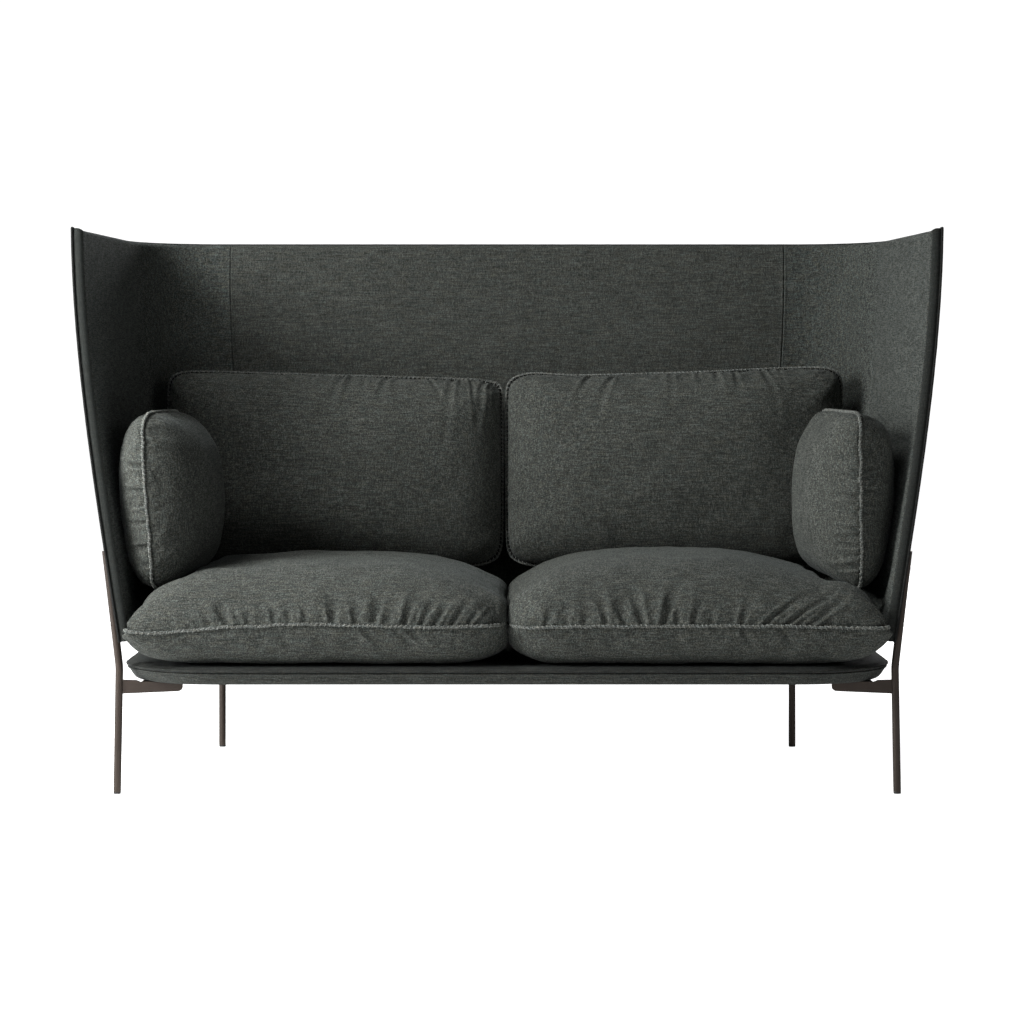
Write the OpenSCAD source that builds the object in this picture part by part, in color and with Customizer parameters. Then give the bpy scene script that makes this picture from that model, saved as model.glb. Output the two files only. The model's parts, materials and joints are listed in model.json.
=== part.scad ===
// Two-seater high-back sofa: a padded wrap-round shell on four round steel
// legs, an upholstered base carried on four brackets, and six loose cushions.
// Millimetres. +X is the viewer's right, -Y is the front, +Z is up.
// The origin is on the floor, in the middle of the sofa's footprint.

/* [Shell] */
// Half the outer width at the wings' bottom corners, over the edge welt
wing_half_bottom = 750; // [748:1:752]
// How far each wing flares out from its bottom to its top
wing_flare = 117; // [110:1:120]
// Y of the wings' front edge at the bottom
wing_front_bottom = -392; // [-396:1:-388]
// How far the wings' front edge leans back over its height
wing_front_lean = 156; // [140:1:170]
// Y of the shell's outer back face at the bottom
back_y_bottom = 320; // [318:1:322]
// How far the back leans over its height
back_lean = 106; // [100:1:110]
// Outer radius of the two rear corners in plan
corner_r = 190; // [186:1:192]
// Z of the shell's lower edge
shell_bottom = 298; // [297:1:299]
// Z of the shell's upper edge
shell_top = 1106; // [1080:1:1120]

/* [Base] */
// Half width of the base over its seam
base_half_w = 756; // [754:1:758]
// Y of the base's front edge
base_front = -412; // [-416:1:-408]
// Y of the base's rear edge
base_rear = 285; // [283:1:287]
// Radius of the front corners in plan
base_front_r = 186; // [180:1:190]
// Radius of the rear corners in plan
base_rear_r = 230; // [224:1:234]
// Z of the underside
base_bottom = 218; // [217:0.5:218]

/* [Legs] */
// Diameter of the round leg bar
leg_d = 15; // [14:0.5:16]
// Height of a foot glide
glide_h = 4; // [3:0.5:5]
// Z where a leg bar ends, on the shell's side
leg_top = 472; // [465:1:478]

/* [Seat cushions] */
// Z of the seam
seat_seam_z = 333; // [332:1:334]
// Height of the crown above the seam
seat_crown = 122; // [116:1:122]
// Depth from front to rear over the seam
seat_depth = 700; // [690:1:700]
// Width of the raised double-stitched seam
flange_w = 6; // [5:0.5:6]

/* [Back cushions] */
// Height along the slope, over the seam
back_cushion_h = 421; // [415:1:422]
// Thickness at the middle
back_cushion_t = 188; // [178:1:188]

/* [Arm cushions] */
// Length over the seam
arm_cushion_l = 470; // [456:1:470]
// Height over the seam
arm_cushion_h = 349; // [342:1:349]
// Thickness at the middle
arm_cushion_t = 172; // [160:1:172]

/* [Hidden] */

FABRIC = "#3c403d";
LINING = "#232524";
METAL = "#4b3f38";
WOOD = "#c8a878";
FOAM = "#e4dcc4";
FIBRE = "#f1efe8";
RUBBER = "#2a2a2a";
STEEL = "#8f8f8f";

LR = leg_d / 2;

// ---------------------------------------------------------------- shell form
// Every layer of the shell is the same surface moved inwards by d.
// z gives the height, k the place along the plan line: front edge of the
// wing, its straight side, the round corner, the cover seam and the back.
NSIDE = 4;            // steps along a wing's straight side
NARC = 8;             // steps round a rear corner
NK = NSIDE + NARC + 1;
NBACK = 6;            // steps across the back panel
NZ = 6;               // steps up the shell
WELT_R = 2.5;
WELT_OUT = 1.5;       // the welt's centre lies this far outside the cover
WELT_GAP = 2.7;       // and this far beyond the covers' edge
layer_z0 = shell_bottom + WELT_GAP + WELT_R;
layer_z1 = shell_top - WELT_GAP - WELT_R;

function frac(z) = (z - shell_bottom) / (shell_top - shell_bottom);
// half width of the cover's outer surface at the front edge
function half_w(s) = wing_half_bottom - WELT_OUT - WELT_R
    + wing_flare * (1.282 * s + 0.128 * s * s - 0.410 * s * s * s);
function front_y(s) = wing_front_bottom + WELT_GAP + WELT_R + wing_front_lean * s;
function rear_y(s) = back_y_bottom + back_lean * s;
function corner_y(s) = rear_y(s) - corner_r;
function side_angle(s) = atan((6 + 30 * s) / (corner_y(s) - front_y(s)));
function side_len(s) = (corner_y(s) + corner_r * sin(side_angle(s)) - front_y(s)) / cos(side_angle(s));
function corner_x(s) = half_w(s) - corner_r * cos(side_angle(s)) - side_len(s) * sin(side_angle(s));
function seam_x(s) = corner_x(s) - 6 - 15 * s;
function arc_a(s, k) = side_angle(s) + (90 - side_angle(s)) * (k - NSIDE) / NARC;
// plan normal at step k
function nrm(s, k) = k <= NSIDE ? [cos(side_angle(s)), sin(side_angle(s))]
    : k <= NSIDE + NARC ? [cos(arc_a(s, k)), sin(arc_a(s, k))] : [0, 1];
// point of the right-hand half on the cover's outer surface; g trims the seam
function out_pt(s, k, g) = k <= NSIDE
    ? [half_w(s) - side_len(s) * sin(side_angle(s)) * k / NSIDE,
       front_y(s) + side_len(s) * cos(side_angle(s)) * k / NSIDE]
    : k <= NSIDE + NARC
    ? [corner_x(s) + corner_r * cos(arc_a(s, k)), corner_y(s) + corner_r * sin(arc_a(s, k))]
    : [seam_x(s) + g, rear_y(s)];
function shell_pt(z, k, d, g = 0) = let (s = frac(z), p = out_pt(s, k, g), n = nrm(s, k))
    [p[0] - n[0] * d, p[1] - n[1] * d, z];
function level(j) = layer_z0 + (layer_z1 - layer_z0) * j / NZ;
function flip(p) = [-p[0], p[1], p[2]];

function wing_row(z, d) = [for (k = [0:NK]) shell_pt(z, k, d, 0.1)];
function back_row(z, d) = let (s = frac(z))
    [for (i = [0:NBACK]) [(seam_x(s) - 0.1) * (1 - 2 * i / NBACK), rear_y(s) - d, z]];
function whole_row(z, d) = let (s = frac(z)) concat(
    [for (k = [0:NK]) shell_pt(z, k, d)],
    [for (i = [1:NBACK - 1]) [seam_x(s) * (1 - 2 * i / NBACK), rear_y(s) - d, z]],
    [for (k = [NK:-1:0]) flip(shell_pt(z, k, d))]);

function flat(rows) = [for (r = rows) for (p = r) p];

// A closed slab between two grids of points with the same rows and columns.
// From column m on, the quads are split the other way, as in a mirrored slab.
module slab(outer, inner, m = 1000) {
  nr = len(outer); nc = len(outer[0]); h = nr * nc;
  pts = concat(flat(outer), flat(inner));
  function id(r, c) = r * nc + c;
  function tri(r, c, t) = c < m
    ? (t == 0 ? [id(r, c), id(r+1, c), id(r+1, c+1)] : [id(r, c), id(r+1, c+1), id(r, c+1)])
    : (t == 0 ? [id(r, c), id(r+1, c), id(r, c+1)] : [id(r+1, c), id(r+1, c+1), id(r, c+1)]);
  faces = concat(
    [for (r = [0:nr-2], c = [0:nc-2], t = [0, 1]) tri(r, c, t)],
    [for (r = [0:nr-2], c = [0:nc-2], t = [0, 1]) let (f = tri(r, c, t)) [h+f[0], h+f[2], h+f[1]]],
    [for (c = [0:nc-2], t = [0, 1]) t == 0
      ? [id(0, c), id(0, c+1), h+id(0, c+1)] : [id(0, c), h+id(0, c+1), h+id(0, c)]],
    [for (c = [0:nc-2], t = [0, 1]) t == 0
      ? [id(nr-1, c), h+id(nr-1, c), h+id(nr-1, c+1)] : [id(nr-1, c), h+id(nr-1, c+1), id(nr-1, c+1)]],
    [for (r = [0:nr-2], t = [0, 1]) t == 0
      ? [id(r, 0), h+id(r, 0), h+id(r+1, 0)] : [id(r, 0), h+id(r+1, 0), id(r+1, 0)]],
    [for (r = [0:nr-2], t = [0, 1]) t == 0
      ? [id(r, nc-1), id(r+1, nc-1), h+id(r+1, nc-1)] : [id(r, nc-1), h+id(r+1, nc-1), h+id(r, nc-1)]]
  );
  polyhedron(points = pts, faces = faces, convexity = 6);
}

module wing_layer(d0, d1) {
  slab([for (j = [0:NZ]) wing_row(level(j), d0)], [for (j = [0:NZ]) wing_row(level(j), d1)]);
}
module back_layer(d0, d1) {
  slab([for (j = [0:NZ]) back_row(level(j), d0)], [for (j = [0:NZ]) back_row(level(j), d1)]);
}
module whole_layer(d0, d1) {
  slab([for (j = [0:NZ]) whole_row(level(j), d0)], [for (j = [0:NZ]) whole_row(level(j), d1)], NK + NBACK / 2);
}

// Layer depths, from the outer cover's surface inwards
OUT_COVER = [0, 1.4];
OUT_PAD = [1.5, 5.4];
CORE = [5.5, 13.4];
IN_PAD = [13.5, 18.4];
IN_COVER = [18.5, 20];

module shell_core_back() { color(WOOD) back_layer(CORE[0], CORE[1]); }
module shell_core_right() { color(WOOD) wing_layer(CORE[0], CORE[1]); }
module shell_core_left() { color(WOOD) mirror([1, 0, 0]) wing_layer(CORE[0], CORE[1]); }
module shell_inner_padding() { color(FOAM) whole_layer(IN_PAD[0], IN_PAD[1]); }
module shell_outer_padding() { color(FOAM) whole_layer(OUT_PAD[0], OUT_PAD[1]); }
module inner_cover_back() { color(FABRIC) back_layer(IN_COVER[0], IN_COVER[1]); }
module inner_cover_right() { color(FABRIC) wing_layer(IN_COVER[0], IN_COVER[1]); }
module inner_cover_left() { color(FABRIC) mirror([1, 0, 0]) wing_layer(IN_COVER[0], IN_COVER[1]); }
module outer_cover_back() { color(FABRIC) back_layer(OUT_COVER[0], OUT_COVER[1]); }
module outer_cover_right() { color(FABRIC) wing_layer(OUT_COVER[0], OUT_COVER[1]); }
module outer_cover_left() { color(FABRIC) mirror([1, 0, 0]) wing_layer(OUT_COVER[0], OUT_COVER[1]); }

// The welt runs round the whole edge of the shell: up one front edge, along
// the top, down the other front edge and back along the bottom.
function welt_ring(z, k, side, up, fwd) =
    let (s = frac(z), n = nrm(s, k), p = out_pt(s, k, 0), a = side_angle(s),
         m = (up != 0 && fwd) ? 0.7071 : 1,
         e = [fwd ? sin(a) * m : 0, fwd ? -cos(a) * m : 0, up * m],
         c = [p[0] + n[0] * WELT_OUT + (fwd ? sin(a) : 0) * WELT_GAP,
              p[1] + n[1] * WELT_OUT - (fwd ? cos(a) : 0) * WELT_GAP,
              z + up * WELT_GAP])
    [for (q = [0:7]) let (v = [c[0] + WELT_R * (n[0] * cos(45 * q) + e[0] * sin(45 * q)),
                               c[1] + WELT_R * (n[1] * cos(45 * q) + e[1] * sin(45 * q)),
                               c[2] + WELT_R * e[2] * sin(45 * q)])
       side > 0 ? v : [-v[0], v[1], v[2]]];
function back_ring(z, x, up) = [for (q = [0:7])
    [x, rear_y(frac(z)) + WELT_OUT + WELT_R * cos(45 * q), z + up * (WELT_GAP + WELT_R * sin(45 * q))]];
module shell_edge_welt() {
  z0 = layer_z0; z1 = layer_z1;
  rings = concat(
    [for (j = [1:NZ-1]) welt_ring(level(j), 0, 1, 0, true)],
    [welt_ring(z1, 0, 1, 1, true)],
    [for (k = [1:NK]) welt_ring(z1, k, 1, 1, false)],
    [for (i = [1:NBACK-1]) back_ring(z1, seam_x(frac(z1)) * (1 - 2 * i / NBACK), 1)],
    [for (k = [NK:-1:1]) welt_ring(z1, k, -1, 1, false)],
    [welt_ring(z1, 0, -1, 1, true)],
    [for (j = [NZ-1:-1:1]) welt_ring(level(j), 0, -1, 0, true)],
    [welt_ring(z0, 0, -1, -1, true)],
    [for (k = [1:NK]) welt_ring(z0, k, -1, -1, false)],
    [for (i = [NBACK-1:-1:1]) back_ring(z0, seam_x(frac(z0)) * (1 - 2 * i / NBACK), -1)],
    [for (k = [NK:-1:1]) welt_ring(z0, k, 1, -1, false)],
    [welt_ring(z0, 0, 1, -1, true)]);
  n = len(rings);
  color(FABRIC) polyhedron(points = flat(rings), convexity = 8, faces =
    [for (i = [0:n-1], q = [0:7], t = [0, 1])
      let (a = i * 8 + q, b = i * 8 + (q + 1) % 8, c = ((i + 1) % n) * 8 + q, d = ((i + 1) % n) * 8 + (q + 1) % 8)
      t == 0 ? [a, b, d] : [a, d, c]]);
}

// ----------------------------------------------------------------------- base
NC = 8;               // steps round each base corner
function base_pts(i) = concat(
    [for (a = [0:NC]) [base_half_w - base_front_r + (base_front_r - i) * cos(-90 + 90 * a / NC),
                       base_front + base_front_r + (base_front_r - i) * sin(-90 + 90 * a / NC)]],
    [for (a = [0:NC]) [base_half_w - base_rear_r + (base_rear_r - i) * cos(90 * a / NC),
                       base_rear - base_rear_r + (base_rear_r - i) * sin(90 * a / NC)]],
    [for (a = [0:NC]) [-(base_half_w - base_rear_r) + (base_rear_r - i) * cos(90 + 90 * a / NC),
                       base_rear - base_rear_r + (base_rear_r - i) * sin(90 + 90 * a / NC)]],
    [for (a = [0:NC]) [-(base_half_w - base_front_r) + (base_front_r - i) * cos(180 + 90 * a / NC),
                       base_front + base_front_r + (base_front_r - i) * sin(180 + 90 * a / NC)]]);
NB = 4 * (NC + 1);
module base_plate(i, z0, z1) { translate([0, 0, z0]) linear_extrude(z1 - z0) polygon(base_pts(i)); }

RAIL_OUT = 20.4;        // rails' outer face, inside the seam's outline
RAIL_IN = 80;
rail_z0 = base_bottom + 1.8;
rail_z1 = base_bottom + 18;
pad_z1 = base_bottom + 34.5;
seam_z = base_bottom + 23.5;
top_z = base_bottom + 37.4;

module rail_ring() {
  difference() { base_plate(RAIL_OUT, rail_z0, rail_z1); base_plate(RAIL_IN, rail_z0 - 1, rail_z1 + 1); }
}
module insert_bores() { for (p = bolt_places()) translate([p[0], p[1], rail_z0 - 1]) cylinder(r = 5.05, h = 16.2, $fn = 32); }
module base_front_rail() {
  color(WOOD) intersection() { rail_ring(); translate([-800, -500, 200]) cube([1600, 155, 60]); }
}
module base_rear_rail() {
  color(WOOD) difference() {
    intersection() { rail_ring(); translate([-800, 200.1, 200]) cube([1600, 200, 60]); }
    insert_bores();
  }
}
module base_side_rails() {
  color(WOOD) difference() {
    intersection() { rail_ring(); translate([-800, -344.9, 200]) cube([1600, 544.9, 60]); }
    insert_bores();
  }
}
module base_cross_rails() {
  color(WOOD) for (x = [-250, 250]) translate([x - 15, base_front + RAIL_IN + 0.1, rail_z0])
    cube([30, base_rear - base_front - 2 * RAIL_IN - 0.2, rail_z1 - rail_z0]);
}
module seat_webbing() {
  color(RUBBER) {
    for (x = [-560, -400, -240, -80, 80, 240, 400, 560])
      translate([x - 30, base_front + 24, rail_z1 + 0.2]) cube([60, base_rear - base_front - (abs(x) > 500 ? 62 : 46), 2]);
    for (y = [-250, -120, 10, 140])
      let (w = base_half_w - (y > 100 ? 72 : 40)) translate([-w, y - 30, rail_z1 + 2.4]) cube([2 * w, 60, 2]);
  }
}
module base_foam_pad() {
  color(FOAM) union() {
    difference() {
      union() {
        base_plate(8.2, base_bottom + 18.8, rail_z1 + 4.6);
        base_plate(11.8, base_bottom + 12.6, base_bottom + 19);
      }
      base_plate(RAIL_OUT - 0.2, base_bottom + 11, rail_z1 + 5);
    }
    base_plate(8.2, rail_z1 + 4.6, seam_z);
    base_plate(13, seam_z, pad_z1);
  }
}
// A ring-shaped skin that follows the base's outline: section points are
// [distance inside the seam's outline, z], in order round the section.
module outline_ring(sec) {
  m = len(sec);
  rings = [for (p = sec) [for (b = base_pts(p[0])) [b[0], b[1], p[1]]]];
  polyhedron(points = flat(rings), convexity = 8, faces =
    [for (i = [0:m-1], j = [0:NB-1], t = [0, 1])
      let (a = i * NB + j, b = i * NB + (j + 1) % NB, c = ((i + 1) % m) * NB + j, d = ((i + 1) % m) * NB + (j + 1) % NB)
      t == 0 ? [a, b, d] : [a, d, c]]);
}
module base_lower_cover() {
  zb = base_bottom;
  color(FABRIC) outline_ring([
    [0, seam_z - 0.1], [0, seam_z - 1.5], [4, seam_z - 1.5], [6.2, zb + 18], [9.5, zb + 11.5], [13.2, zb + 5.6], [16.6, zb + 2],
    [19.4, zb + 0.4], [22.4, zb], [22.4, zb + 1.2], [20.2, zb + 1.4], [17.6, zb + 3.1], [14.3, zb + 6.6], [10.7, zb + 12.3],
    [7.6, zb + 18.5], [7.6, seam_z - 0.1]]);
}
// The top cover is a shallow cap over the pad, with its own seam edge.
module base_top_cover() {
  out = [[0, seam_z + 4.8], [3, seam_z + 7], [7.2, seam_z + 11.1], [11.5, seam_z + 13.3], [20, top_z]];
  inn = [[0, seam_z + 0.1], [7.6, seam_z + 0.1], [8.8, seam_z + 9.9], [12.6, seam_z + 11.7], [20.6, top_z - 1.6]];
  m = len(out);
  ring = function (p) [for (b = base_pts(p[0])) [b[0], b[1], p[1]]];
  pts = concat(flat([for (p = out) ring(p)]), [[0, -60, top_z]], flat([for (p = inn) ring(p)]), [[0, -60, top_z - 1.6]]);
  h = m * NB + 1;
  color(FABRIC) polyhedron(points = pts, convexity = 6, faces = concat(
    [for (i = [0:m-2], j = [0:NB-1], t = [0, 1])
      let (a = i * NB + j, b = i * NB + (j + 1) % NB, c = (i + 1) * NB + j, d = (i + 1) * NB + (j + 1) % NB)
      t == 0 ? [a, d, b] : [a, c, d]],
    [for (j = [0:NB-1]) [(m - 1) * NB + j, m * NB, (m - 1) * NB + (j + 1) % NB]],
    [for (i = [0:m-2], j = [0:NB-1], t = [0, 1])
      let (a = h + i * NB + j, b = h + i * NB + (j + 1) % NB, c = h + (i + 1) * NB + j, d = h + (i + 1) * NB + (j + 1) % NB)
      t == 0 ? [a, b, d] : [a, d, c]],
    [for (j = [0:NB-1]) [h + (m - 1) * NB + j, h + (m - 1) * NB + (j + 1) % NB, h + m * NB]],
    [for (j = [0:NB-1], t = [0, 1]) let (a = j, b = (j + 1) % NB, c = h + j, d = h + (j + 1) % NB)
      t == 0 ? [a, b, d] : [a, d, c]]));
}
module base_dust_cover() {
  color(LINING) difference() {
    base_plate(22.6, base_bottom, base_bottom + 1.2);
    for (p = bolt_places()) translate([p[0], p[1], base_bottom - 1]) cylinder(r = 3.3, h = 4, $fn = 32);
  }
}

// ------------------------------------------------------------------ leg frame
// Front legs: foot, bend and top lie in one plane across the sofa.
FLY = -337;           // Y of the front legs
FL_FOOT = 759.3;      // X of the foot
FL_LEAN = -1.0;       // lean of the lower part, degrees
FL_BEND_Z = 247;      // height of the bend
FL_UP = 6.7;          // lean of the upper part, degrees
BEND_R = 150;
fl_bend_x = FL_FOOT + FL_BEND_Z * tan(FL_LEAN);
function fl_x(z) = z < FL_BEND_Z ? FL_FOOT + z * tan(FL_LEAN) : fl_bend_x + (z - FL_BEND_Z) * tan(FL_UP);
// Rear legs: upright, then leaning out along the shell's corner.
RL = [624, 313];      // foot in plan
RL_DIR = 68.04;       // plan direction of the lean, degrees
RL_BEND_Z = 265;
RL_UP = 7.8;
function rl_off(z) = z < RL_BEND_Z ? 0 : (z - RL_BEND_Z) * tan(RL_UP);

// A round bar in the XZ plane: straight at angle a0 up to the bend, NBEND
// steps round the bend, then straight at angle a1. Both ends are cut level.
NBEND = 6;
NBAR = 48;
function along(a, l) = [l * sin(a), 0, l * cos(a)];
// ring round point c of a bar that runs at angle a, cut by a plane at angle b
function bar_ring(c, a, b, r) = [for (i = [0:NBAR-1]) let (t = 360 * (i + 0.5) / NBAR, u = r * cos(t))
    [c[0] + u * cos(a) + u * tan(a - b) * sin(a), r * sin(t), c[2] - u * sin(a) + u * tan(a - b) * cos(a)]];
module bent_bar(x0, a0, zb, a1, z0, z1, r) {
  t = BEND_R * tan((a1 - a0) / 2);
  b = [x0 + zb * tan(a0), 0, zb];
  o = b - along(a0, t) + [BEND_R * cos(a0), 0, -BEND_R * sin(a0)];
  rings = concat(
    [bar_ring(b - along(a0, (zb - z0) / cos(a0)), a0, 0, r)],
    [for (i = [0:NBEND]) let (a = a0 + (a1 - a0) * i / NBEND)
      bar_ring(o + [-BEND_R * cos(a), 0, BEND_R * sin(a)], a, a, r)],
    [bar_ring(b + along(a1, (z1 - zb) / cos(a1)), a1, 0, r)]);
  n = len(rings);
  polyhedron(points = flat(rings), convexity = 4, faces = concat(
    [[for (i = [0:NBAR-1]) i]],
    [for (j = [0:n-2], i = [0:NBAR-1], t = [0, 1])
      let (a = j * NBAR + i, b = j * NBAR + (i + 1) % NBAR, c = a + NBAR, d = b + NBAR)
      t == 0 ? [a, c, d] : [a, d, b]],
    [[for (i = [NBAR-1:-1:0]) (n - 1) * NBAR + i]]));
}
SCREW_Z = [330, 440];
// Countersunk screws lie along -X from the bar's centre line, head outside.
module screw_body(tip) {
  rotate([0, -90, 0]) union() {
    translate([0, 0, -LR + 1.5]) cylinder(r = 2.5, h = LR - 1.5 + tip, $fn = 32);
    translate([0, 0, -LR + 0.6]) cylinder(r1 = 4.8, r2 = 2.5, h = 2.6, $fn = 32);
  }
}
// Holes in the bars are many-sided prisms, like the bars themselves.
module prism(r, h) { linear_extrude(h) polygon([for (i = [0:23]) r / cos(7.5) * [cos(15 * i + 4), sin(15 * i + 4)]]); }
module screw_hole(len) {
  rotate([0, -90, 0]) {
    translate([0, 0, -LR - 1]) prism(2.55, LR + 1 + len);
    translate([0, 0, -LR - 1]) prism(4.9, 4.3);
  }
}
module front_leg_shape() {
  difference() {
    translate([0, FLY, 0]) bent_bar(FL_FOOT, FL_LEAN, FL_BEND_Z, FL_UP, glide_h, leg_top, LR);
    for (z = SCREW_Z) translate([fl_x(z), FLY, z]) screw_hole(12);
    translate([FL_FOOT, FLY, glide_h - 1]) prism(3.05, 14);
  }
}
module rear_leg_shape() {
  difference() {
    translate([RL[0], RL[1], 0]) rotate([0, 0, RL_DIR]) bent_bar(0, 0, RL_BEND_Z, RL_UP, glide_h, leg_top, LR);
    for (z = SCREW_Z) rear_at(z) screw_hole(12);
    translate([RL[0], RL[1], glide_h - 1]) prism(3.05, 14);
  }
}
module rear_at(z) { translate([RL[0] + rl_off(z) * cos(RL_DIR), RL[1] + rl_off(z) * sin(RL_DIR), z]) rotate([0, 0, RL_DIR]) children(); }
module front_leg_right() { color(METAL) front_leg_shape(); }
module front_leg_left() { color(METAL) mirror([1, 0, 0]) front_leg_shape(); }
module rear_leg_right() { color(METAL) rear_leg_shape(); }
module rear_leg_left() { color(METAL) mirror([1, 0, 0]) rear_leg_shape(); }

module foot_glides() {
  color(RUBBER) for (m = [0, 1]) mirror([m, 0, 0]) for (p = [[FL_FOOT, FLY], RL])
    translate([p[0], p[1], 0]) {
      cylinder(r = LR - 0.2, h = glide_h - 0.1, $fn = 48);
      translate([0, 0, glide_h - 0.2]) cylinder(r = 3, h = 12, $fn = 32);
    }
}

// A bracket in its own frame: x runs inwards from the leg's axis, the web
// stands on edge and the flange under the base holds two bolts.
BOLT_X = [28, 66];
BOLT_Y = -19;
FRONT_REACH = 36;
REAR_REACH = 46;
module bracket_shape(reach, lean) {
  zb = base_bottom;
  difference() {
    union() {
      translate([0, 2.5, 0]) rotate([90, 0, 0]) linear_extrude(5) polygon([
        [3, zb - 23.4], [reach + 74, zb - 18.8], [reach + 82, zb - 18], [reach + 86.5, zb - 15], [reach + 88, zb - 11],
        [reach + 88, zb - 0.1], [reach + 5, zb - 0.1], [reach - 2, zb + 3], [3, zb + 4]]);
      translate([reach + 8, -36, zb - 4.1]) cube([72, 38.5, 4]);
      translate([reach + 79.9, -28, zb - 4.1]) cube([8.1, 30.5, 4]);
      translate([reach + 80, -28, zb - 4.1]) cylinder(r = 8, h = 4, $fn = 32);
    }
    rotate([0, lean, 0]) translate([0, 0, 150]) cylinder(r = LR + 0.05, h = 120, $fn = 48);
    for (x = BOLT_X) translate([reach + x, BOLT_Y, zb - 8]) cylinder(r = 3.3, h = 12, $fn = 32);
  }
}
module at_front() { translate([fl_x(205), FLY, 0]) rotate([0, 0, 180]) children(); }
module at_rear() { translate([RL[0], RL[1], 0]) rotate([0, 0, 180 + RL_DIR]) children(); }
// the front leg leans by FL_LEAN about the bracket's own origin height
module front_bracket_shape() {
  at_front() difference() {
    bracket_shape(FRONT_REACH, 0);
    translate([-205 * tan(FL_LEAN) * -1, 0, 0]) rotate([0, -FL_LEAN, 0]) cylinder(r = LR + 0.1, h = 300, $fn = 48);
  }
}
module front_bracket_right() { color(METAL) front_bracket_shape(); }
module front_bracket_left() { color(METAL) mirror([1, 0, 0]) front_bracket_shape(); }
module rear_bracket_right() { color(METAL) at_rear() bracket_shape(REAR_REACH, 0); }
module rear_bracket_left() { color(METAL) mirror([1, 0, 0]) at_rear() bracket_shape(REAR_REACH, 0); }

function turn(v, a) = [v[0] * cos(a) - v[1] * sin(a), v[0] * sin(a) + v[1] * cos(a)];
function bolts_right() = concat(
    [for (x = BOLT_X) [fl_x(205), FLY] + turn([FRONT_REACH + x, BOLT_Y], 180)],
    [for (x = BOLT_X) RL + turn([REAR_REACH + x, BOLT_Y], 180 + RL_DIR)]);
function bolt_places() = concat(bolts_right(), [for (p = bolts_right()) [-p[0], p[1]]]);

module bracket_bolts() {
  color(STEEL) for (p = bolt_places()) translate([p[0], p[1], 0]) difference() {
    union() {
      translate([0, 0, base_bottom - 8.2]) cylinder(r1 = 4, r2 = 5, h = 1, $fn = 48);
      translate([0, 0, base_bottom - 7.2]) cylinder(r = 5, h = 3, $fn = 48);
      translate([0, 0, base_bottom - 4.4]) cylinder(r = 3, h = 18.5, $fn = 48);
    }
    translate([0, 0, base_bottom - 8.3]) cylinder(r = 2, h = 2.2, $fn = 6);
  }
}
module threaded_inserts() {
  color(STEEL) for (p = bolt_places()) translate([p[0], p[1], rail_z0 + 0.2]) difference() {
    cylinder(r = 5, h = 13, $fn = 48);
    translate([0, 0, -1]) cylinder(r = 3.05, h = 15, $fn = 48);
  }
}
// Gap between the bar's centre line and the outer cover at each screw
function front_gap(z) = fl_x(z) - out_at(z)[0];
function out_at(z) = let (s = frac(z), t = (FLY - front_y(s)) / (side_len(s) * cos(side_angle(s))))
    [half_w(s) - side_len(s) * sin(side_angle(s)) * t, FLY];
function rear_gap(z) = let (s = frac(z), p = RL + rl_off(z) * [cos(RL_DIR), sin(RL_DIR)])
    norm(p - [corner_x(s), corner_y(s)]) - corner_r;
module leg_screws() {
  color(STEEL) for (m = [0, 1]) mirror([m, 0, 0]) for (z = SCREW_Z) {
    translate([fl_x(z), FLY, z]) screw_body(front_gap(z) + 12.5);
    rear_at(z) screw_body(rear_gap(z) + 12.5);
  }
}
// Round spacers between the bars and the shell, on the lower screws
module leg_spacers() {
  color(RUBBER) for (m = [0, 1]) mirror([m, 0, 0]) {
    translate([fl_x(330), FLY, 330]) spacer(front_gap(330));
    rear_at(330) spacer(rear_gap(330));
  }
}
module spacer(gap) {
  rotate([0, -90, 0]) difference() {
    translate([0, 0, LR + 1.1]) cylinder(r = 6.5, h = gap - LR - 2.5, $fn = 48);
    cylinder(r = 2.6, h = gap + 10, $fn = 32);
  }
}

// ------------------------------------------------------------------- cushions
// A cushion is drawn flat, with its seam in the XY plane. a and b are its half
// sizes over the seam's raised edge, n sets how square its outline is, h is the
// height of the crown, p how full it is, and dent() lowers it where other
// cushions stand on it. q rounds the edge: 2 is an ellipse, more is boxier.
// n is [on the side of -Y, on the side of +Y].
NT = 28;
RS = [1, 0.994, 0.965, 0.88, 0.7, 0.4];
function sg(x) = x < 0 ? -1 : 1;
function ring2(a, b, n, r) = [for (i = [0:NT-1]) let (t = 360 * (i + 0.5) / NT, e = 2 / (sin(t) < 0 ? n[0] : n[1]))
    [a * r * sg(cos(t)) * pow(abs(cos(t)), e), b * r * sg(sin(t)) * pow(abs(sin(t)), e)]];
function ss(x) = let (t = max(0, min(1, x))) t * t * (3 - 2 * t);
function full(r, p, q) = pow(max(0, 1 - pow(r, p)), 1 / q);
// share of the height lost at a point of a seat cushion, x outwards, y to the rear
function dent(x, y) = 1 - (1 - 0.31 * ss((x - 170) / 85) * ss((y + 310) / 50)) * (1 - 0.29 * ss((y - 180) / 70));
function skin_rings(a, b, n, h, p, q, d, z0, dents) =
    [for (r = RS) [for (e = ring2(a - d, b - d, n, r))
      [e[0], e[1], z0 + h * full(r, p, q) * (dents ? 1 - dent(e[0], e[1]) : 1)]]];

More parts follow.
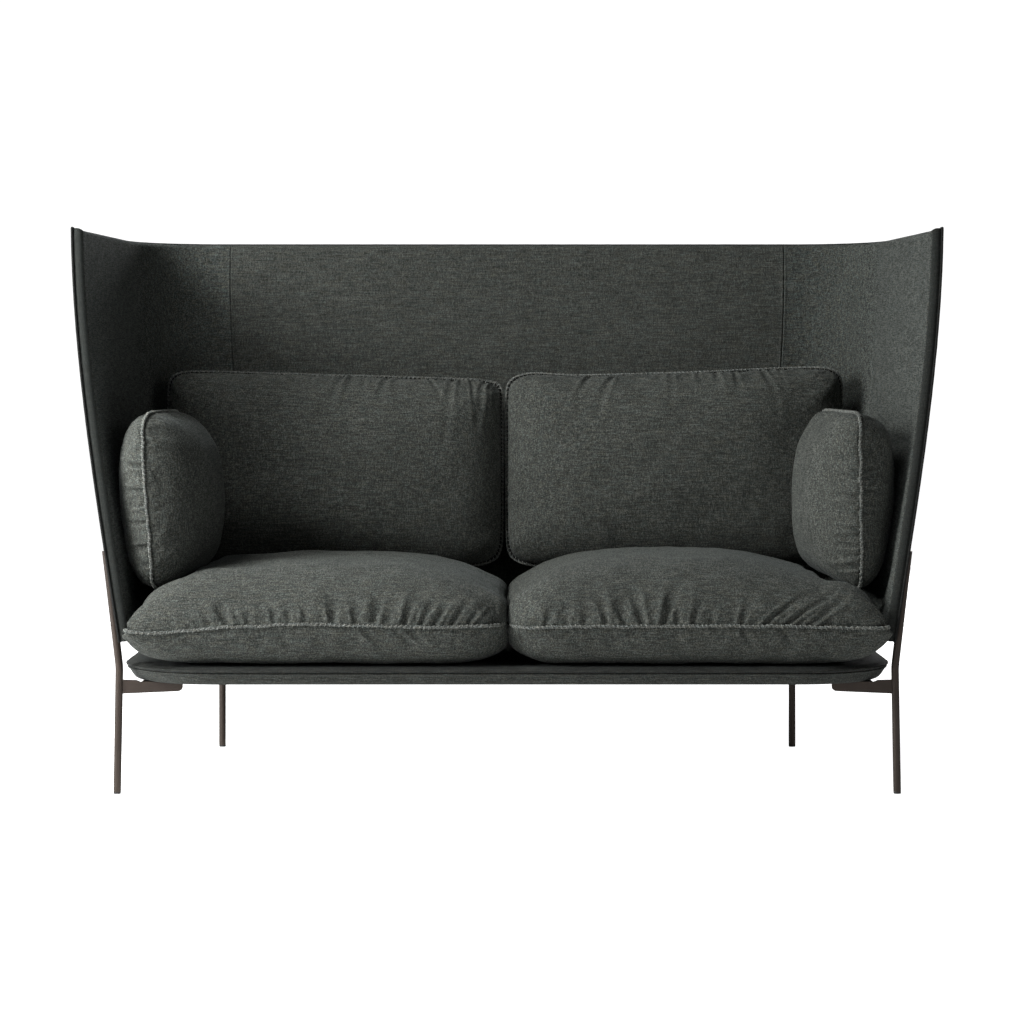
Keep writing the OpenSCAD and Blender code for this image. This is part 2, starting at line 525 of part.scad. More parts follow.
// One sewn panel: the raised edge, the crowned skin and its inner side.
module panel(a, b, n, h, p, q, dents = false) {
  f = flange_w; w = 2;
  outer = concat([[for (q = ring2(a, b, n, 1)) [q[0], q[1], 1.6]]], skin_rings(a, b, n, h - 1.6, p, q, f, 1.6, dents));
  inner = concat([[for (q = ring2(a, b, n, 1)) [q[0], q[1], 0.15]]], skin_rings(a, b, n, h - 1.6 - w, p, q, f + w, 0.15, dents));
  m = len(outer); g = m * NT + 1;
  pts = concat(flat(outer), [[0, 0, h]], flat(inner), [[0, 0, h - w - 1.45]]);
  polyhedron(points = pts, convexity = 6, faces = concat(
    [for (i = [0:m-2], j = [0:NT-1], t = [0, 1])
      let (a = i * NT + j, b = i * NT + (j + 1) % NT, c = (i + 1) * NT + j, d = (i + 1) * NT + (j + 1) % NT)
      t == 0 ? [a, d, b] : [a, c, d]],
    [for (j = [0:NT-1]) [(m - 1) * NT + j, m * NT, (m - 1) * NT + (j + 1) % NT]],
    [for (i = [0:m-2], j = [0:NT-1], t = [0, 1])
      let (a = g + i * NT + j, b = g + i * NT + (j + 1) % NT, c = g + (i + 1) * NT + j, d = g + (i + 1) * NT + (j + 1) % NT)
      t == 0 ? [a, b, d] : [a, d, c]],
    [for (j = [0:NT-1]) [g + (m - 1) * NT + j, g + (m - 1) * NT + (j + 1) % NT, g + m * NT]],
    [for (j = [0:NT-1], t = [0, 1]) let (a = j, b = (j + 1) % NT, c = g + j, d = g + (j + 1) % NT)
      t == 0 ? [a, b, d] : [a, d, c]]));
}
module filling(a, b, n, h, p, q, h2, p2, q2, dents = false) {
  f = flange_w + 2.3;
  up = skin_rings(a, b, n, h - 3.8, p, q, f, 0, dents);
  dn = [for (r = skin_rings(a, b, n, h2 - 3.8, p2, q2, f, 0, false)) [for (e = r) [e[0], e[1], -e[2]]]];
  m = len(up); g = m * NT + 1;
  pts = concat(flat(up), [[0, 0, h - 3.9]], flat([for (i = [1:m-1]) dn[i]]), [[0, 0, -(h2 - 3.9)]]);
  lower = function (i, j) i == 0 ? j % NT : g + (i - 1) * NT + j % NT;
  polyhedron(points = pts, convexity = 4, faces = concat(
    [for (i = [0:m-2], j = [0:NT-1], t = [0, 1])
      let (a = i * NT + j, b = i * NT + (j + 1) % NT, c = (i + 1) * NT + j, d = (i + 1) * NT + (j + 1) % NT)
      t == 0 ? [a, d, b] : [a, c, d]],
    [for (j = [0:NT-1]) [(m - 1) * NT + j, m * NT, (m - 1) * NT + (j + 1) % NT]],
    [for (i = [0:m-2], j = [0:NT-1], t = [0, 1])
      let (a = lower(i, j), b = lower(i, j + 1), c = lower(i + 1, j), d = lower(i + 1, j + 1))
      t == 0 ? [a, b, d] : [a, d, c]],
    [for (j = [0:NT-1]) [lower(m - 1, j), lower(m - 1, j + 1), g + (m - 1) * NT]]));
}

SEAT_A = 362.5; SEAT_N = [12, 5];
seat_front = -430;
seat_drop = seat_seam_z - top_z - 0.6;
module at_seat() { translate([363, seat_front + seat_depth / 2, seat_seam_z]) children(); }
module seat_top() { at_seat() panel(SEAT_A, seat_depth / 2, SEAT_N, seat_crown, 3.5, 2.6, true); }
module seat_bottom() { at_seat() mirror([0, 0, 1]) panel(SEAT_A, seat_depth / 2, SEAT_N, seat_drop, 12, 1.7); }
module seat_fill() { at_seat() filling(SEAT_A, seat_depth / 2, SEAT_N, seat_crown, 3.5, 2.6, seat_drop, 12, 1.7, true); }
module seat_cushion_right_top_cover() { color(FABRIC) seat_top(); }
module seat_cushion_right_bottom_cover() { color(FABRIC) seat_bottom(); }
module seat_cushion_right_filling() { color(FOAM) seat_fill(); }
module seat_cushion_left_top_cover() { color(FABRIC) mirror([1, 0, 0]) seat_top(); }
module seat_cushion_left_bottom_cover() { color(FABRIC) mirror([1, 0, 0]) seat_bottom(); }
module seat_cushion_left_filling() { color(FOAM) mirror([1, 0, 0]) seat_fill(); }

BACK_A = 363; BACK_N = [9, 9];
BACK_TILT = atan(back_lean / (shell_top - shell_bottom));
module at_back() { translate([365, 235, 607]) rotate([-BACK_TILT, 0, 0]) rotate([90, 0, 0]) children(); }
module back_front() { at_back() panel(BACK_A, back_cushion_h / 2, BACK_N, back_cushion_t / 2, 2.6, 2.2); }
module back_rear() { at_back() mirror([0, 0, 1]) panel(BACK_A, back_cushion_h / 2, BACK_N, back_cushion_t / 2, 2.6, 2.2); }
module back_fill() { at_back() filling(BACK_A, back_cushion_h / 2, BACK_N, back_cushion_t / 2, 2.6, 2.2, back_cushion_t / 2, 2.6, 2.2); }
module back_cushion_right_front_cover() { color(FABRIC) back_front(); }
module back_cushion_right_rear_cover() { color(FABRIC) back_rear(); }
module back_cushion_right_filling() { color(FIBRE) back_fill(); }
module back_cushion_left_front_cover() { color(FABRIC) mirror([1, 0, 0]) back_front(); }
module back_cushion_left_rear_cover() { color(FABRIC) mirror([1, 0, 0]) back_rear(); }
module back_cushion_left_filling() { color(FIBRE) mirror([1, 0, 0]) back_fill(); }

ARM_N = [8, 8];
ARM_OUT = arm_cushion_t * 0.448; // the outer half is a little flatter, against the wing
ARM_IN = arm_cushion_t - ARM_OUT;
module at_arm() { translate([681.5, -100, 569.5]) rotate([0, 0, 3.5]) rotate([0, 3, 0]) rotate([90, 0, 90]) children(); }
module arm_out() { at_arm() panel(arm_cushion_l / 2, arm_cushion_h / 2, ARM_N, ARM_OUT, 3, 2.6); }
module arm_in() { at_arm() mirror([0, 0, 1]) panel(arm_cushion_l / 2, arm_cushion_h / 2, ARM_N, ARM_IN, 2.4, 2.1); }
module arm_fill() { at_arm() filling(arm_cushion_l / 2, arm_cushion_h / 2, ARM_N, ARM_OUT, 3, 2.6, ARM_IN, 2.4, 2.1); }
module arm_cushion_right_outer_cover() { color(FABRIC) arm_out(); }
module arm_cushion_right_inner_cover() { color(FABRIC) arm_in(); }
module arm_cushion_right_filling() { color(FIBRE) arm_fill(); }
module arm_cushion_left_outer_cover() { color(FABRIC) mirror([1, 0, 0]) arm_out(); }
module arm_cushion_left_inner_cover() { color(FABRIC) mirror([1, 0, 0]) arm_in(); }
module arm_cushion_left_filling() { color(FIBRE) mirror([1, 0, 0]) arm_fill(); }

front_leg_left();
front_leg_right();
rear_leg_left();
rear_leg_right();
front_bracket_left();
front_bracket_right();
rear_bracket_left();
rear_bracket_right();
foot_glides();
bracket_bolts();
threaded_inserts();
leg_screws();
leg_spacers();
base_front_rail();
base_rear_rail();
base_side_rails();
base_cross_rails();
seat_webbing();
base_foam_pad();
base_top_cover();
base_lower_cover();
base_dust_cover();
shell_core_back();
shell_core_left();
shell_core_right();
shell_inner_padding();
shell_outer_padding();
inner_cover_back();
inner_cover_left();
inner_cover_right();
outer_cover_back();
outer_cover_left();
outer_cover_right();
shell_edge_welt();
seat_cushion_left_top_cover();
seat_cushion_left_bottom_cover();
seat_cushion_left_filling();
seat_cushion_right_top_cover();
seat_cushion_right_bottom_cover();
seat_cushion_right_filling();
back_cushion_left_front_cover();
back_cushion_left_rear_cover();
back_cushion_left_filling();
back_cushion_right_front_cover();
back_cushion_right_rear_cover();
back_cushion_right_filling();
arm_cushion_left_inner_cover();
arm_cushion_left_outer_cover();
arm_cushion_left_filling();
arm_cushion_right_inner_cover();
arm_cushion_right_outer_cover();
arm_cushion_right_filling();
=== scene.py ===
import json
import math

import bpy
import bmesh
import numpy as np
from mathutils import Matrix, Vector


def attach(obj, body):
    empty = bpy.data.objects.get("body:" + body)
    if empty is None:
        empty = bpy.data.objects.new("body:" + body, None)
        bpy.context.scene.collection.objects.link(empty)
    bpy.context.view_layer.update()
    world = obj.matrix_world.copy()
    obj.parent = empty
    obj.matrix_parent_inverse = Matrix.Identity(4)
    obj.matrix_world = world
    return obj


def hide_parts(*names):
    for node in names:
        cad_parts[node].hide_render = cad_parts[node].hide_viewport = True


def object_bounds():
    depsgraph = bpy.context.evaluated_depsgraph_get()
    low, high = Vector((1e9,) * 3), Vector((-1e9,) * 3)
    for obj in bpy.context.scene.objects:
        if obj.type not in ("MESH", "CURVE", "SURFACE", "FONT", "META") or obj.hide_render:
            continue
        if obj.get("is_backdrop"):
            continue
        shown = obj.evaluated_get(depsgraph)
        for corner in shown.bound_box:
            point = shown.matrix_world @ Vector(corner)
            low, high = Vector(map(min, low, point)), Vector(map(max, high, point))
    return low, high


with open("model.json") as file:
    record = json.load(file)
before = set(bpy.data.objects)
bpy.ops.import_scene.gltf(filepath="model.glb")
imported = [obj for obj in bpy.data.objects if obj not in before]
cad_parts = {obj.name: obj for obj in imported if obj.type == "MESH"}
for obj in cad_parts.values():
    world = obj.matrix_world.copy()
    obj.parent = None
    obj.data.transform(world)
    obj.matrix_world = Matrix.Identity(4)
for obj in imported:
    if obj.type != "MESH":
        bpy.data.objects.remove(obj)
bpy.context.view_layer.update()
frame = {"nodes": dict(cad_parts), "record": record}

NODES = frame["nodes"]
AMBIENT = 0.06     # light from the white surround
FLOOR_GLOW = 0.98  # keeps the pale floor light in the shadow

# ---------------------------------------------------------------- camera
camera_data = bpy.data.cameras.new("camera")
camera_data.sensor_width = 36.0
camera_data.lens = 93.70
camera_data.clip_start = 0.1
camera_data.clip_end = 60.0
camera_data.shift_y = -0.1365  # the photograph is taken level, with the sofa below the horizon
camera = bpy.data.objects.new("camera", camera_data)
camera.location = (0.0, -5.516, 0.8216)
camera.rotation_euler = (math.radians(90.0), 0.0, math.radians(-0.08))
bpy.context.scene.collection.objects.link(camera)
bpy.context.scene.camera = camera


# ---------------------------------------------------------------- helpers
def ss(t):
    t = np.clip(t, 0.0, 1.0)
    return t * t * (3 - 2 * t)


def waves(p, seed, scale, count=14):
    """A smooth pseudo-random field over points in mm, about -1..1, the same on every run."""
    rng = np.random.RandomState(seed)
    out = np.zeros(len(p))
    for _ in range(count):
        k = rng.normal(size=3)
        k *= (2 * math.pi / scale) * rng.uniform(0.6, 1.5) / np.linalg.norm(k)
        out += np.sin(p @ k + rng.uniform(0, 2 * math.pi))
    return out / math.sqrt(count) * 0.9


def make_mesh(name, verts_mm, faces, smooth=True):
    """An object from points in mm and a list of faces."""
    mesh = bpy.data.meshes.new(name)
    mesh.from_pydata((np.asarray(verts_mm, float) / 1000.0).tolist(), [], faces)
    mesh.validate()
    if smooth:
        mesh.shade_smooth()
    mesh.update()
    obj = bpy.data.objects.new(name, mesh)
    bpy.context.scene.collection.objects.link(obj)
    return obj


def tidy(obj, dist=0.00001):
    """Merges points that fall together and drops faces with no area."""
    bm = bmesh.new()
    bm.from_mesh(obj.data)
    bmesh.ops.remove_doubles(bm, verts=bm.verts, dist=dist)
    bmesh.ops.dissolve_degenerate(bm, edges=bm.edges, dist=dist)
    loose = [v for v in bm.verts if not v.link_faces]
    bmesh.ops.delete(bm, geom=loose, context="VERTS")
    bmesh.ops.recalc_face_normals(bm, faces=bm.faces)
    bm.to_mesh(obj.data)
    bm.free()
    obj.data.shade_smooth()
    return obj


def grid_faces(rows, cols, wrap_r=False, wrap_c=False, base=0):
    out = []
    for r in range(rows if wrap_r else rows - 1):
        r2 = (r + 1) % rows
        for c in range(cols if wrap_c else cols - 1):
            c2 = (c + 1) % cols
            out.append((base + r * cols + c, base + r * cols + c2, base + r2 * cols + c2, base + r2 * cols + c))
    return out


def tube(points, radii, sides=10, closed=True, phase=0.0):
    """A tube round a path of points in mm; returns points and faces."""
    p = np.asarray(points, float)
    n = len(p)
    radii = np.broadcast_to(np.asarray(radii, float), (n,))
    t = np.roll(p, -1, 0) - np.roll(p, 1, 0)
    if not closed:
        t[0], t[-1] = p[1] - p[0], p[-1] - p[-2]
    t /= np.linalg.norm(t, axis=1)[:, None]
    up = np.array([0.0, 0.0, 1.0])
    u = np.cross(t, up)
    bad = np.linalg.norm(u, axis=1) < 0.2
    u[bad] = np.cross(t[bad], np.array([1.0, 0.0, 0.0]))
    # carry the first side vector along the path, so the tube doesn't twist
    u[0] /= np.linalg.norm(u[0])
    for i in range(1, n):
        w = u[i - 1] - t[i] * (u[i - 1] @ t[i])
        u[i] = w / np.linalg.norm(w)
    v = np.cross(t, u)
    a = np.arange(sides) / sides * 2 * math.pi + phase
    pts = (p[:, None] + radii[:, None, None] * (np.cos(a)[None, :, None] * u[:, None] + np.sin(a)[None, :, None] * v[:, None])).reshape(-1, 3)
    faces = grid_faces(n, sides, wrap_r=closed, wrap_c=True)
    if not closed:
        faces.append(tuple(range(sides - 1, -1, -1)))
        faces.append(tuple((n - 1) * sides + i for i in range(sides)))
    return pts, faces


# ---------------------------------------------------------------- materials
def node(tree, kind, where=(0, 0), **values):
    n = tree.nodes.new(kind)
    n.location = where
    for k, v in values.items():
        if k.startswith("in_"):
            n.inputs[k[3:].replace("_", " ")].default_value = v
        else:
            setattr(n, k, v)
    return n


def new_material(name):
    m = bpy.data.materials.new(name)
    m.use_nodes = True
    tree = m.node_tree
    tree.nodes.clear()
    out = node(tree, "ShaderNodeOutputMaterial", (900, 0))
    bsdf = node(tree, "ShaderNodeBsdfPrincipled", (600, 0))
    tree.links.new(bsdf.outputs["BSDF"], out.inputs["Surface"])
    return m, tree, bsdf


def thread_noise(tree, coord, scale, where, detail=2.0, rough=0.55):
    mapping = node(tree, "ShaderNodeMapping", where)
    mapping.inputs["Scale"].default_value = scale
    tree.links.new(coord, mapping.inputs["Vector"])
    noise = node(tree, "ShaderNodeTexNoise", (where[0] + 180, where[1]))
    noise.inputs["Scale"].default_value = 1.0
    noise.inputs["Detail"].default_value = detail
    noise.inputs["Roughness"].default_value = rough
    tree.links.new(mapping.outputs["Vector"], noise.inputs["Vector"])
    return noise.outputs["Fac"]


def add(tree, a, b, op="ADD", where=(0, 0), clamp=False):
    m = node(tree, "ShaderNodeMath", where, operation=op)
    m.use_clamp = clamp
    for i, x in enumerate((a, b)):
        if x is None:
            continue
        if isinstance(x, (int, float)):
            m.inputs[i].default_value = x
        else:
            tree.links.new(x, m.inputs[i])
    return m.outputs[0]


def ramp(tree, fac, stops, where):
    r = node(tree, "ShaderNodeValToRGB", where)
    e = r.color_ramp.elements
    while len(e) < len(stops):
        e.new(0.5)
    for i, (p, c) in enumerate(stops):
        e[i].position = p
        e[i].color = (*c, 1.0)
    tree.links.new(fac, r.inputs["Fac"])
    return r.outputs["Color"]


def fabric(name, dark, mid, light, bump=0.35, sheen=0.05, weave=1.0, tint_amount=0.3, contrast=1.0, side=1.0, painted_edge_shade=0.0):
    """A fine plain weave of mixed yarns: streaks along three axes, so that each
    face shows threads in two directions, with flecks and slow tint changes."""
    m, tree, bsdf = new_material(name)
    source = node(tree, "ShaderNodeTexCoord", (-1500, 0))
    coord = source.outputs["Object"]
    tx = thread_noise(tree, coord, (30 * weave, 440 * weave, 440 * weave), (-1300, 400), rough=0.6)
    ty = thread_noise(tree, coord, (430 * weave, 34 * weave, 420 * weave), (-1300, 150), rough=0.6)
    tz = thread_noise(tree, coord, (440 * weave, 430 * weave, 80 * weave), (-1300, -100), rough=0.6)
    fleck = thread_noise(tree, coord, (520, 520, 520), (-1300, -350), detail=1.0)
    slow = thread_noise(tree, coord, (7, 7, 7), (-1300, -600), detail=3.0)
    tint = thread_noise(tree, coord, (50, 280, 300), (-1300, -850), detail=2.0)
    s = add(tree, add(tree, tx, ty, where=(-950, 300)), tz, where=(-800, 250))
    s = add(tree, s, 1 / 3, "MULTIPLY", (-650, 250))
    mix = add(tree, add(tree, s, 0.72, "MULTIPLY", (-500, 250)), add(tree, fleck, 0.28, "MULTIPLY", (-500, 50)), where=(-350, 200))
    if side != 1.0:
        # faces that turn to the sides or up show the yarns' ends: more contrast
        turned = node(tree, "ShaderNodeSeparateXYZ", (-1300, 650))
        tree.links.new(source.outputs["Normal"], turned.inputs[0])
        ny = add(tree, turned.outputs[1], None, "ABSOLUTE", (-1100, 650))
        much = node(tree, "ShaderNodeMapRange", (-950, 650), interpolation_type="SMOOTHSTEP")
        for key, value in (("From Min", 0.62), ("From Max", 0.12), ("To Min", 1.0), ("To Max", side)):
            much.inputs[key].default_value = value
        tree.links.new(ny, much.inputs["Value"])
        swing = add(tree, add(tree, mix, 0.5, "SUBTRACT", (-300, 450)), much.outputs["Result"], "MULTIPLY", (-250, 450))
        mix = add(tree, swing, 0.5, "ADD", (-200, 450))
    tone = ramp(tree, mix, [(0.5 - 0.092 / contrast, dark), (0.50, mid), (0.5 + 0.092 / contrast, light)], (-200, 300))
    # a trace of blue-green and of olive yarn
    tint_colour = ramp(tree, tint, [(0.36, (1.10, 1.02, 0.80)), (0.5, (1.0, 1.0, 1.0)), (0.64, (0.80, 1.04, 1.07))], (-200, 0))
    blend = node(tree, "ShaderNodeMix", (120, 200), data_type="RGBA", blend_type="MULTIPLY")
    blend.inputs[0].default_value = tint_amount
    tree.links.new(tone, blend.inputs[6])
    tree.links.new(tint_colour, blend.inputs[7])
    shade = ramp(tree, slow, [(0.3, (0.92, 0.92, 0.92)), (0.7, (1.05, 1.05, 1.05))], (-200, -250))
    final = node(tree, "ShaderNodeMix", (320, 200), data_type="RGBA", blend_type="MULTIPLY")
    final.inputs[0].default_value = 1.0
    tree.links.new(blend.outputs[2], final.inputs[6])
    tree.links.new(shade, final.inputs[7])
    colour = final.outputs[2]
    if painted_edge_shade > 0:
        # painted shade: where the wings' inner cover faces forward near its front edge, its colour is mixed towards the
        # dark yarn colour to stand in for shade on the rounded edge
        place_xyz = node(tree, "ShaderNodeSeparateXYZ", (-1300, 900))
        tree.links.new(coord, place_xyz.inputs[0])
        facing = node(tree, "ShaderNodeMapRange", (-950, 900), interpolation_type="SMOOTHSTEP")
        for key, value in (("From Min", -0.25), ("From Max", -0.8), ("To Min", 0.0), ("To Max", painted_edge_shade)):
            facing.inputs[key].default_value = value
        tree.links.new(turned.outputs[1], facing.inputs["Value"])
        front = node(tree, "ShaderNodeMapRange", (-950, 1100), interpolation_type="SMOOTHSTEP")
        for key, value in (("From Min", 0.10), ("From Max", -0.02), ("To Min", 0.0), ("To Max", 1.0)):
            front.inputs[key].default_value = value
        tree.links.new(place_xyz.outputs[1], front.inputs["Value"])
        edge_shade_mask = add(tree, facing.outputs["Result"], front.outputs["Result"], "MULTIPLY", (-700, 1000))
        edge_shade_mix = node(tree, "ShaderNodeMix", (480, 300), data_type="RGBA", blend_type="MIX")
        tree.links.new(edge_shade_mask, edge_shade_mix.inputs[0])
        tree.links.new(colour, edge_shade_mix.inputs[6])
        edge_shade_mix.inputs[7].default_value = (*dark, 1.0)
        colour = edge_shade_mix.outputs[2]
    tree.links.new(colour, bsdf.inputs["Base Color"])
    bsdf.inputs["Roughness"].default_value = 0.92
    bsdf.inputs["Specular IOR Level"].default_value = 0.22
    bsdf.inputs["Sheen Weight"].default_value = sheen
    bsdf.inputs["Sheen Roughness"].default_value = 0.4
    bsdf.inputs["Sheen Tint"].default_value = (0.72, 0.82, 0.84, 1.0)
    b = node(tree, "ShaderNodeBump", (300, -300))
    b.inputs["Strength"].default_value = bump
    b.inputs["Distance"].default_value = 0.0010
    tree.links.new(mix, b.inputs["Height"])
    tree.links.new(b.outputs["Normal"], bsdf.inputs["Normal"])
    return m


def painted_metal(name, colour, edge, rough=0.42):
    """Bronze-brown powder coat: a fine orange-peel surface with slow colour changes."""
    m, tree, bsdf = new_material(name)
    coord = node(tree, "ShaderNodeTexCoord", (-1200, 0)).outputs["Object"]
    grain = thread_noise(tree, coord, (900, 900, 900), (-1000, 200), detail=2.0)
    slow = thread_noise(tree, coord, (14, 14, 9), (-1000, -100), detail=4.0)
    colour_out = ramp(tree, slow, [(0.3, colour), (0.7, edge)], (-500, -100))
    tree.links.new(colour_out, bsdf.inputs["Base Color"])
    bsdf.inputs["Metallic"].default_value = 0.55
    r = node(tree, "ShaderNodeMapRange", (-300, -300))
    r.inputs["To Min"].default_value = rough - 0.05
    r.inputs["To Max"].default_value = rough + 0.08
    tree.links.new(grain, r.inputs["Value"])
    tree.links.new(r.outputs["Result"], bsdf.inputs["Roughness"])
    b = node(tree, "ShaderNodeBump", (200, -300))
    b.inputs["Strength"].default_value = 0.12
    b.inputs["Distance"].default_value = 0.0002
    tree.links.new(grain, b.inputs["Height"])
    tree.links.new(b.outputs["Normal"], bsdf.inputs["Normal"])
    return m


def plain_noise_material(name, low, high, scale, rough, metallic=0.0, bump=0.1, stretch=(1, 1, 1)):
    m, tree, bsdf = new_material(name)
    coord = node(tree, "ShaderNodeTexCoord", (-1200, 0)).outputs["Object"]
    n = thread_noise(tree, coord, tuple(scale * s for s in stretch), (-1000, 100), detail=5.0)
    tree.links.new(ramp(tree, n, [(0.3, low), (0.7, high)], (-400, 100)), bsdf.inputs["Base Color"])
    bsdf.inputs["Roughness"].default_value = rough
    bsdf.inputs["Metallic"].default_value = metallic
    b = node(tree, "ShaderNodeBump", (200, -300))
    b.inputs["Strength"].default_value = bump
    b.inputs["Distance"].default_value = 0.0006
    tree.links.new(n, b.inputs["Height"])
    tree.links.new(b.outputs["Normal"], bsdf.inputs["Normal"])
    return m


M_SEAT = fabric("cushion_weave", (0.012, 0.0135, 0.0120), (0.039, 0.0420, 0.0375), (0.108, 0.113, 0.102), bump=0.5, contrast=0.88, side=1.7)
M_SHELL = fabric("shell_weave", (0.012, 0.0132, 0.0114), (0.0345, 0.0372, 0.0332), (0.084, 0.088, 0.080), bump=0.4, contrast=0.85)
# painted_edge_shade darkens the forward-facing front edge of the wings as painted shade
M_SIDE = fabric("shell_side_weave", (0.011, 0.0125, 0.0115), (0.035, 0.0385, 0.0350), (0.088, 0.094, 0.087), bump=0.4, contrast=0.95, side=2.6, tint_amount=0.5, painted_edge_shade=0.82)
M_WELT = fabric("edge_weave", (0.004, 0.004, 0.004), (0.008, 0.0084, 0.008), (0.020, 0.021, 0.0195), bump=0.3, sheen=0.02, contrast=0.7)
M_BASE = fabric("base_weave", (0.010, 0.0110, 0.0095), (0.030, 0.0320, 0.0290), (0.078, 0.082, 0.074), bump=0.5, contrast=0.9)
# the base's top cover: the base fabric made darker as painted shade for the contact shadow under the seat cushions
M_DECK_PAINTED_SHADE = fabric("base_top_painted_shade_weave", (0.007, 0.0075, 0.007), (0.019, 0.0202, 0.0186), (0.049, 0.0515, 0.0475), bump=0.5, sheen=0.02, contrast=0.8)
# the seam's rope is the cover fabric itself, made over twice as light as painted highlight for the light along its top
M_SEAM_PAINTED_HIGHLIGHT = fabric("seam_painted_highlight_weave", (0.034, 0.036, 0.033), (0.092, 0.097, 0.090), (0.190, 0.198, 0.186), bump=0.5)
# near-black fabric for the seam's flange: painted shade for the shadow under the rope
M_NECK_PAINTED_SHADE = fabric("seam_painted_shade_weave", (0.003, 0.003, 0.003), (0.008, 0.0085, 0.008), (0.019, 0.020, 0.019), bump=0.3, sheen=0.0)
M_THREAD = fabric("seam_thread", (0.09, 0.094, 0.086), (0.150, 0.156, 0.145), (0.27, 0.28, 0.26), bump=0.3, weave=2.0)
M_LINING = fabric("lining_weave", (0.008, 0.008, 0.008), (0.014, 0.014, 0.014), (0.028, 0.028, 0.028), bump=0.3, sheen=0.05)
M_WEBBING = fabric("webbing_weave", (0.012, 0.012, 0.011), (0.028, 0.027, 0.025), (0.06, 0.058, 0.052), bump=0.5, sheen=0.05, weave=0.4)
M_METAL = painted_metal("bronze_coat", (0.038, 0.029, 0.024), (0.053, 0.040, 0.032))
M_STEEL = plain_noise_material("zinc_steel", (0.28, 0.27, 0.26), (0.40, 0.39, 0.37), 300, 0.38, metallic=0.9, bump=0.08)
M_PLASTIC = plain_noise_material("black_polymer", (0.014, 0.014, 0.013), (0.026, 0.025, 0.024), 500, 0.55, bump=0.15)
M_WOOD = plain_noise_material("plywood_grain", (0.42, 0.29, 0.17), (0.62, 0.46, 0.29), 30, 0.6, bump=0.2, stretch=(1, 6, 8))
M_FOAM = plain_noise_material("foam_cells", (0.62, 0.57, 0.44), (0.80, 0.76, 0.62), 700, 0.95, bump=0.5)
M_FIBRE = plain_noise_material("fibre_filling", (0.70, 0.69, 0.64), (0.86, 0.85, 0.81), 200, 0.95, bump=0.5)

SLOT_MATERIAL = {"sofa_fabric": M_SHELL, "lining_fabric": M_LINING, "bronze_metal": M_METAL, "fastener_steel": M_STEEL,
                 "dark_plastic": M_PLASTIC, "wood": M_WOOD, "webbing": M_WEBBING, "foam": M_FOAM, "cushion_filling": M_FIBRE}
SLOT_OF = {s["node"]: s["material_slot"] for s in frame["record"]["subparts"]}
for name, obj in NODES.items():
    obj.data.materials.clear()
    obj.data.materials.append(SLOT_MATERIAL[SLOT_OF[name]])


def finish_piece(obj, material, body, nodes=()):
    obj.data.materials.clear()
    obj.data.materials.append(material)
    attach(obj, body)
    if nodes:
        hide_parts(*nodes)
    return obj


# ---------------------------------------------------------------- shell form
# The same numbers as the solid model: the plan line of the shell's outer cover
# at height z, moved inwards by d.
Z0, Z1 = 303.2, 1100.8
CORNER_R = 190.0


def shell_params(z):
    s = (np.asarray(z, float) - 298.0) / 808.0
    half = 746 + 117 * (1.282 * s + 0.128 * s ** 2 - 0.410 * s ** 3)
    fy = -386.8 + 156 * s
    ry = 320 + 106 * s
    cy = ry - CORNER_R
    a = np.arctan2(6 + 30 * s, cy - fy)
    length = (cy + CORNER_R * np.sin(a) - fy) / np.cos(a)
    cx = half - CORNER_R * np.cos(a) - length * np.sin(a)
    return dict(s=s, half=half, fy=fy, ry=ry, cy=cy, a=a, length=length, cx=cx, sx=cx - 6 - 15 * s)


def shell_point(z, kind, value, d):
    """Right-hand half. kind 0: mm from the front edge; 1: share of the side past 14 mm;
    2: share of the corner arc; 3: mm from the seam, + outwards; 4: share of the way from the middle to the seam less 16 mm."""
    q = shell_params(z)
    lift = 0.0
    if kind <= 1:
        m = value if kind == 0 else 14 + (q["length"] - 14) * value
        lift = 3.4 * np.exp(-(m / 24.0) ** 2) * ss((z - 1000.0) / 100.0)
        x = q["half"] - m * np.sin(q["a"])
        y = q["fy"] + m * np.cos(q["a"])
        nx, ny = np.cos(q["a"]), np.sin(q["a"])
    elif kind == 2:
        t = q["a"] + (math.pi / 2 - q["a"]) * value
        x, y = q["cx"] + CORNER_R * np.cos(t), q["cy"] + CORNER_R * np.sin(t)
        nx, ny = np.cos(t), np.sin(t)
    else:
        x = q["sx"] + value if kind == 3 else (q["sx"] - 16) * value
        # past the arc's end the seam zone is straight; before it, it follows the arc
        over = np.maximum(x - q["cx"], 0)
        t = np.pi / 2 - over / CORNER_R
        x = np.where(over > 0, q["cx"] + CORNER_R * np.cos(t), x)
        y = np.where(over > 0, q["cy"] + CORNER_R * np.sin(t), q["ry"])
        nx, ny = np.where(over > 0, np.cos(t), 0.0), np.where(over > 0, np.sin(t), 1.0)
    return np.stack([x - nx * d, y - ny * d, z + lift + 0 * x], -1), np.stack([nx, ny, 0 * nx], -1)


# seam groove: two edges turned in beside a fine dark line, each with a low ridge
def seam_depth(g):
    g = np.abs(g)
    return 2.0 * np.exp(-(g / 0.9) ** 2) - 0.55 * np.exp(-((g - 3.2) / 1.6) ** 2)


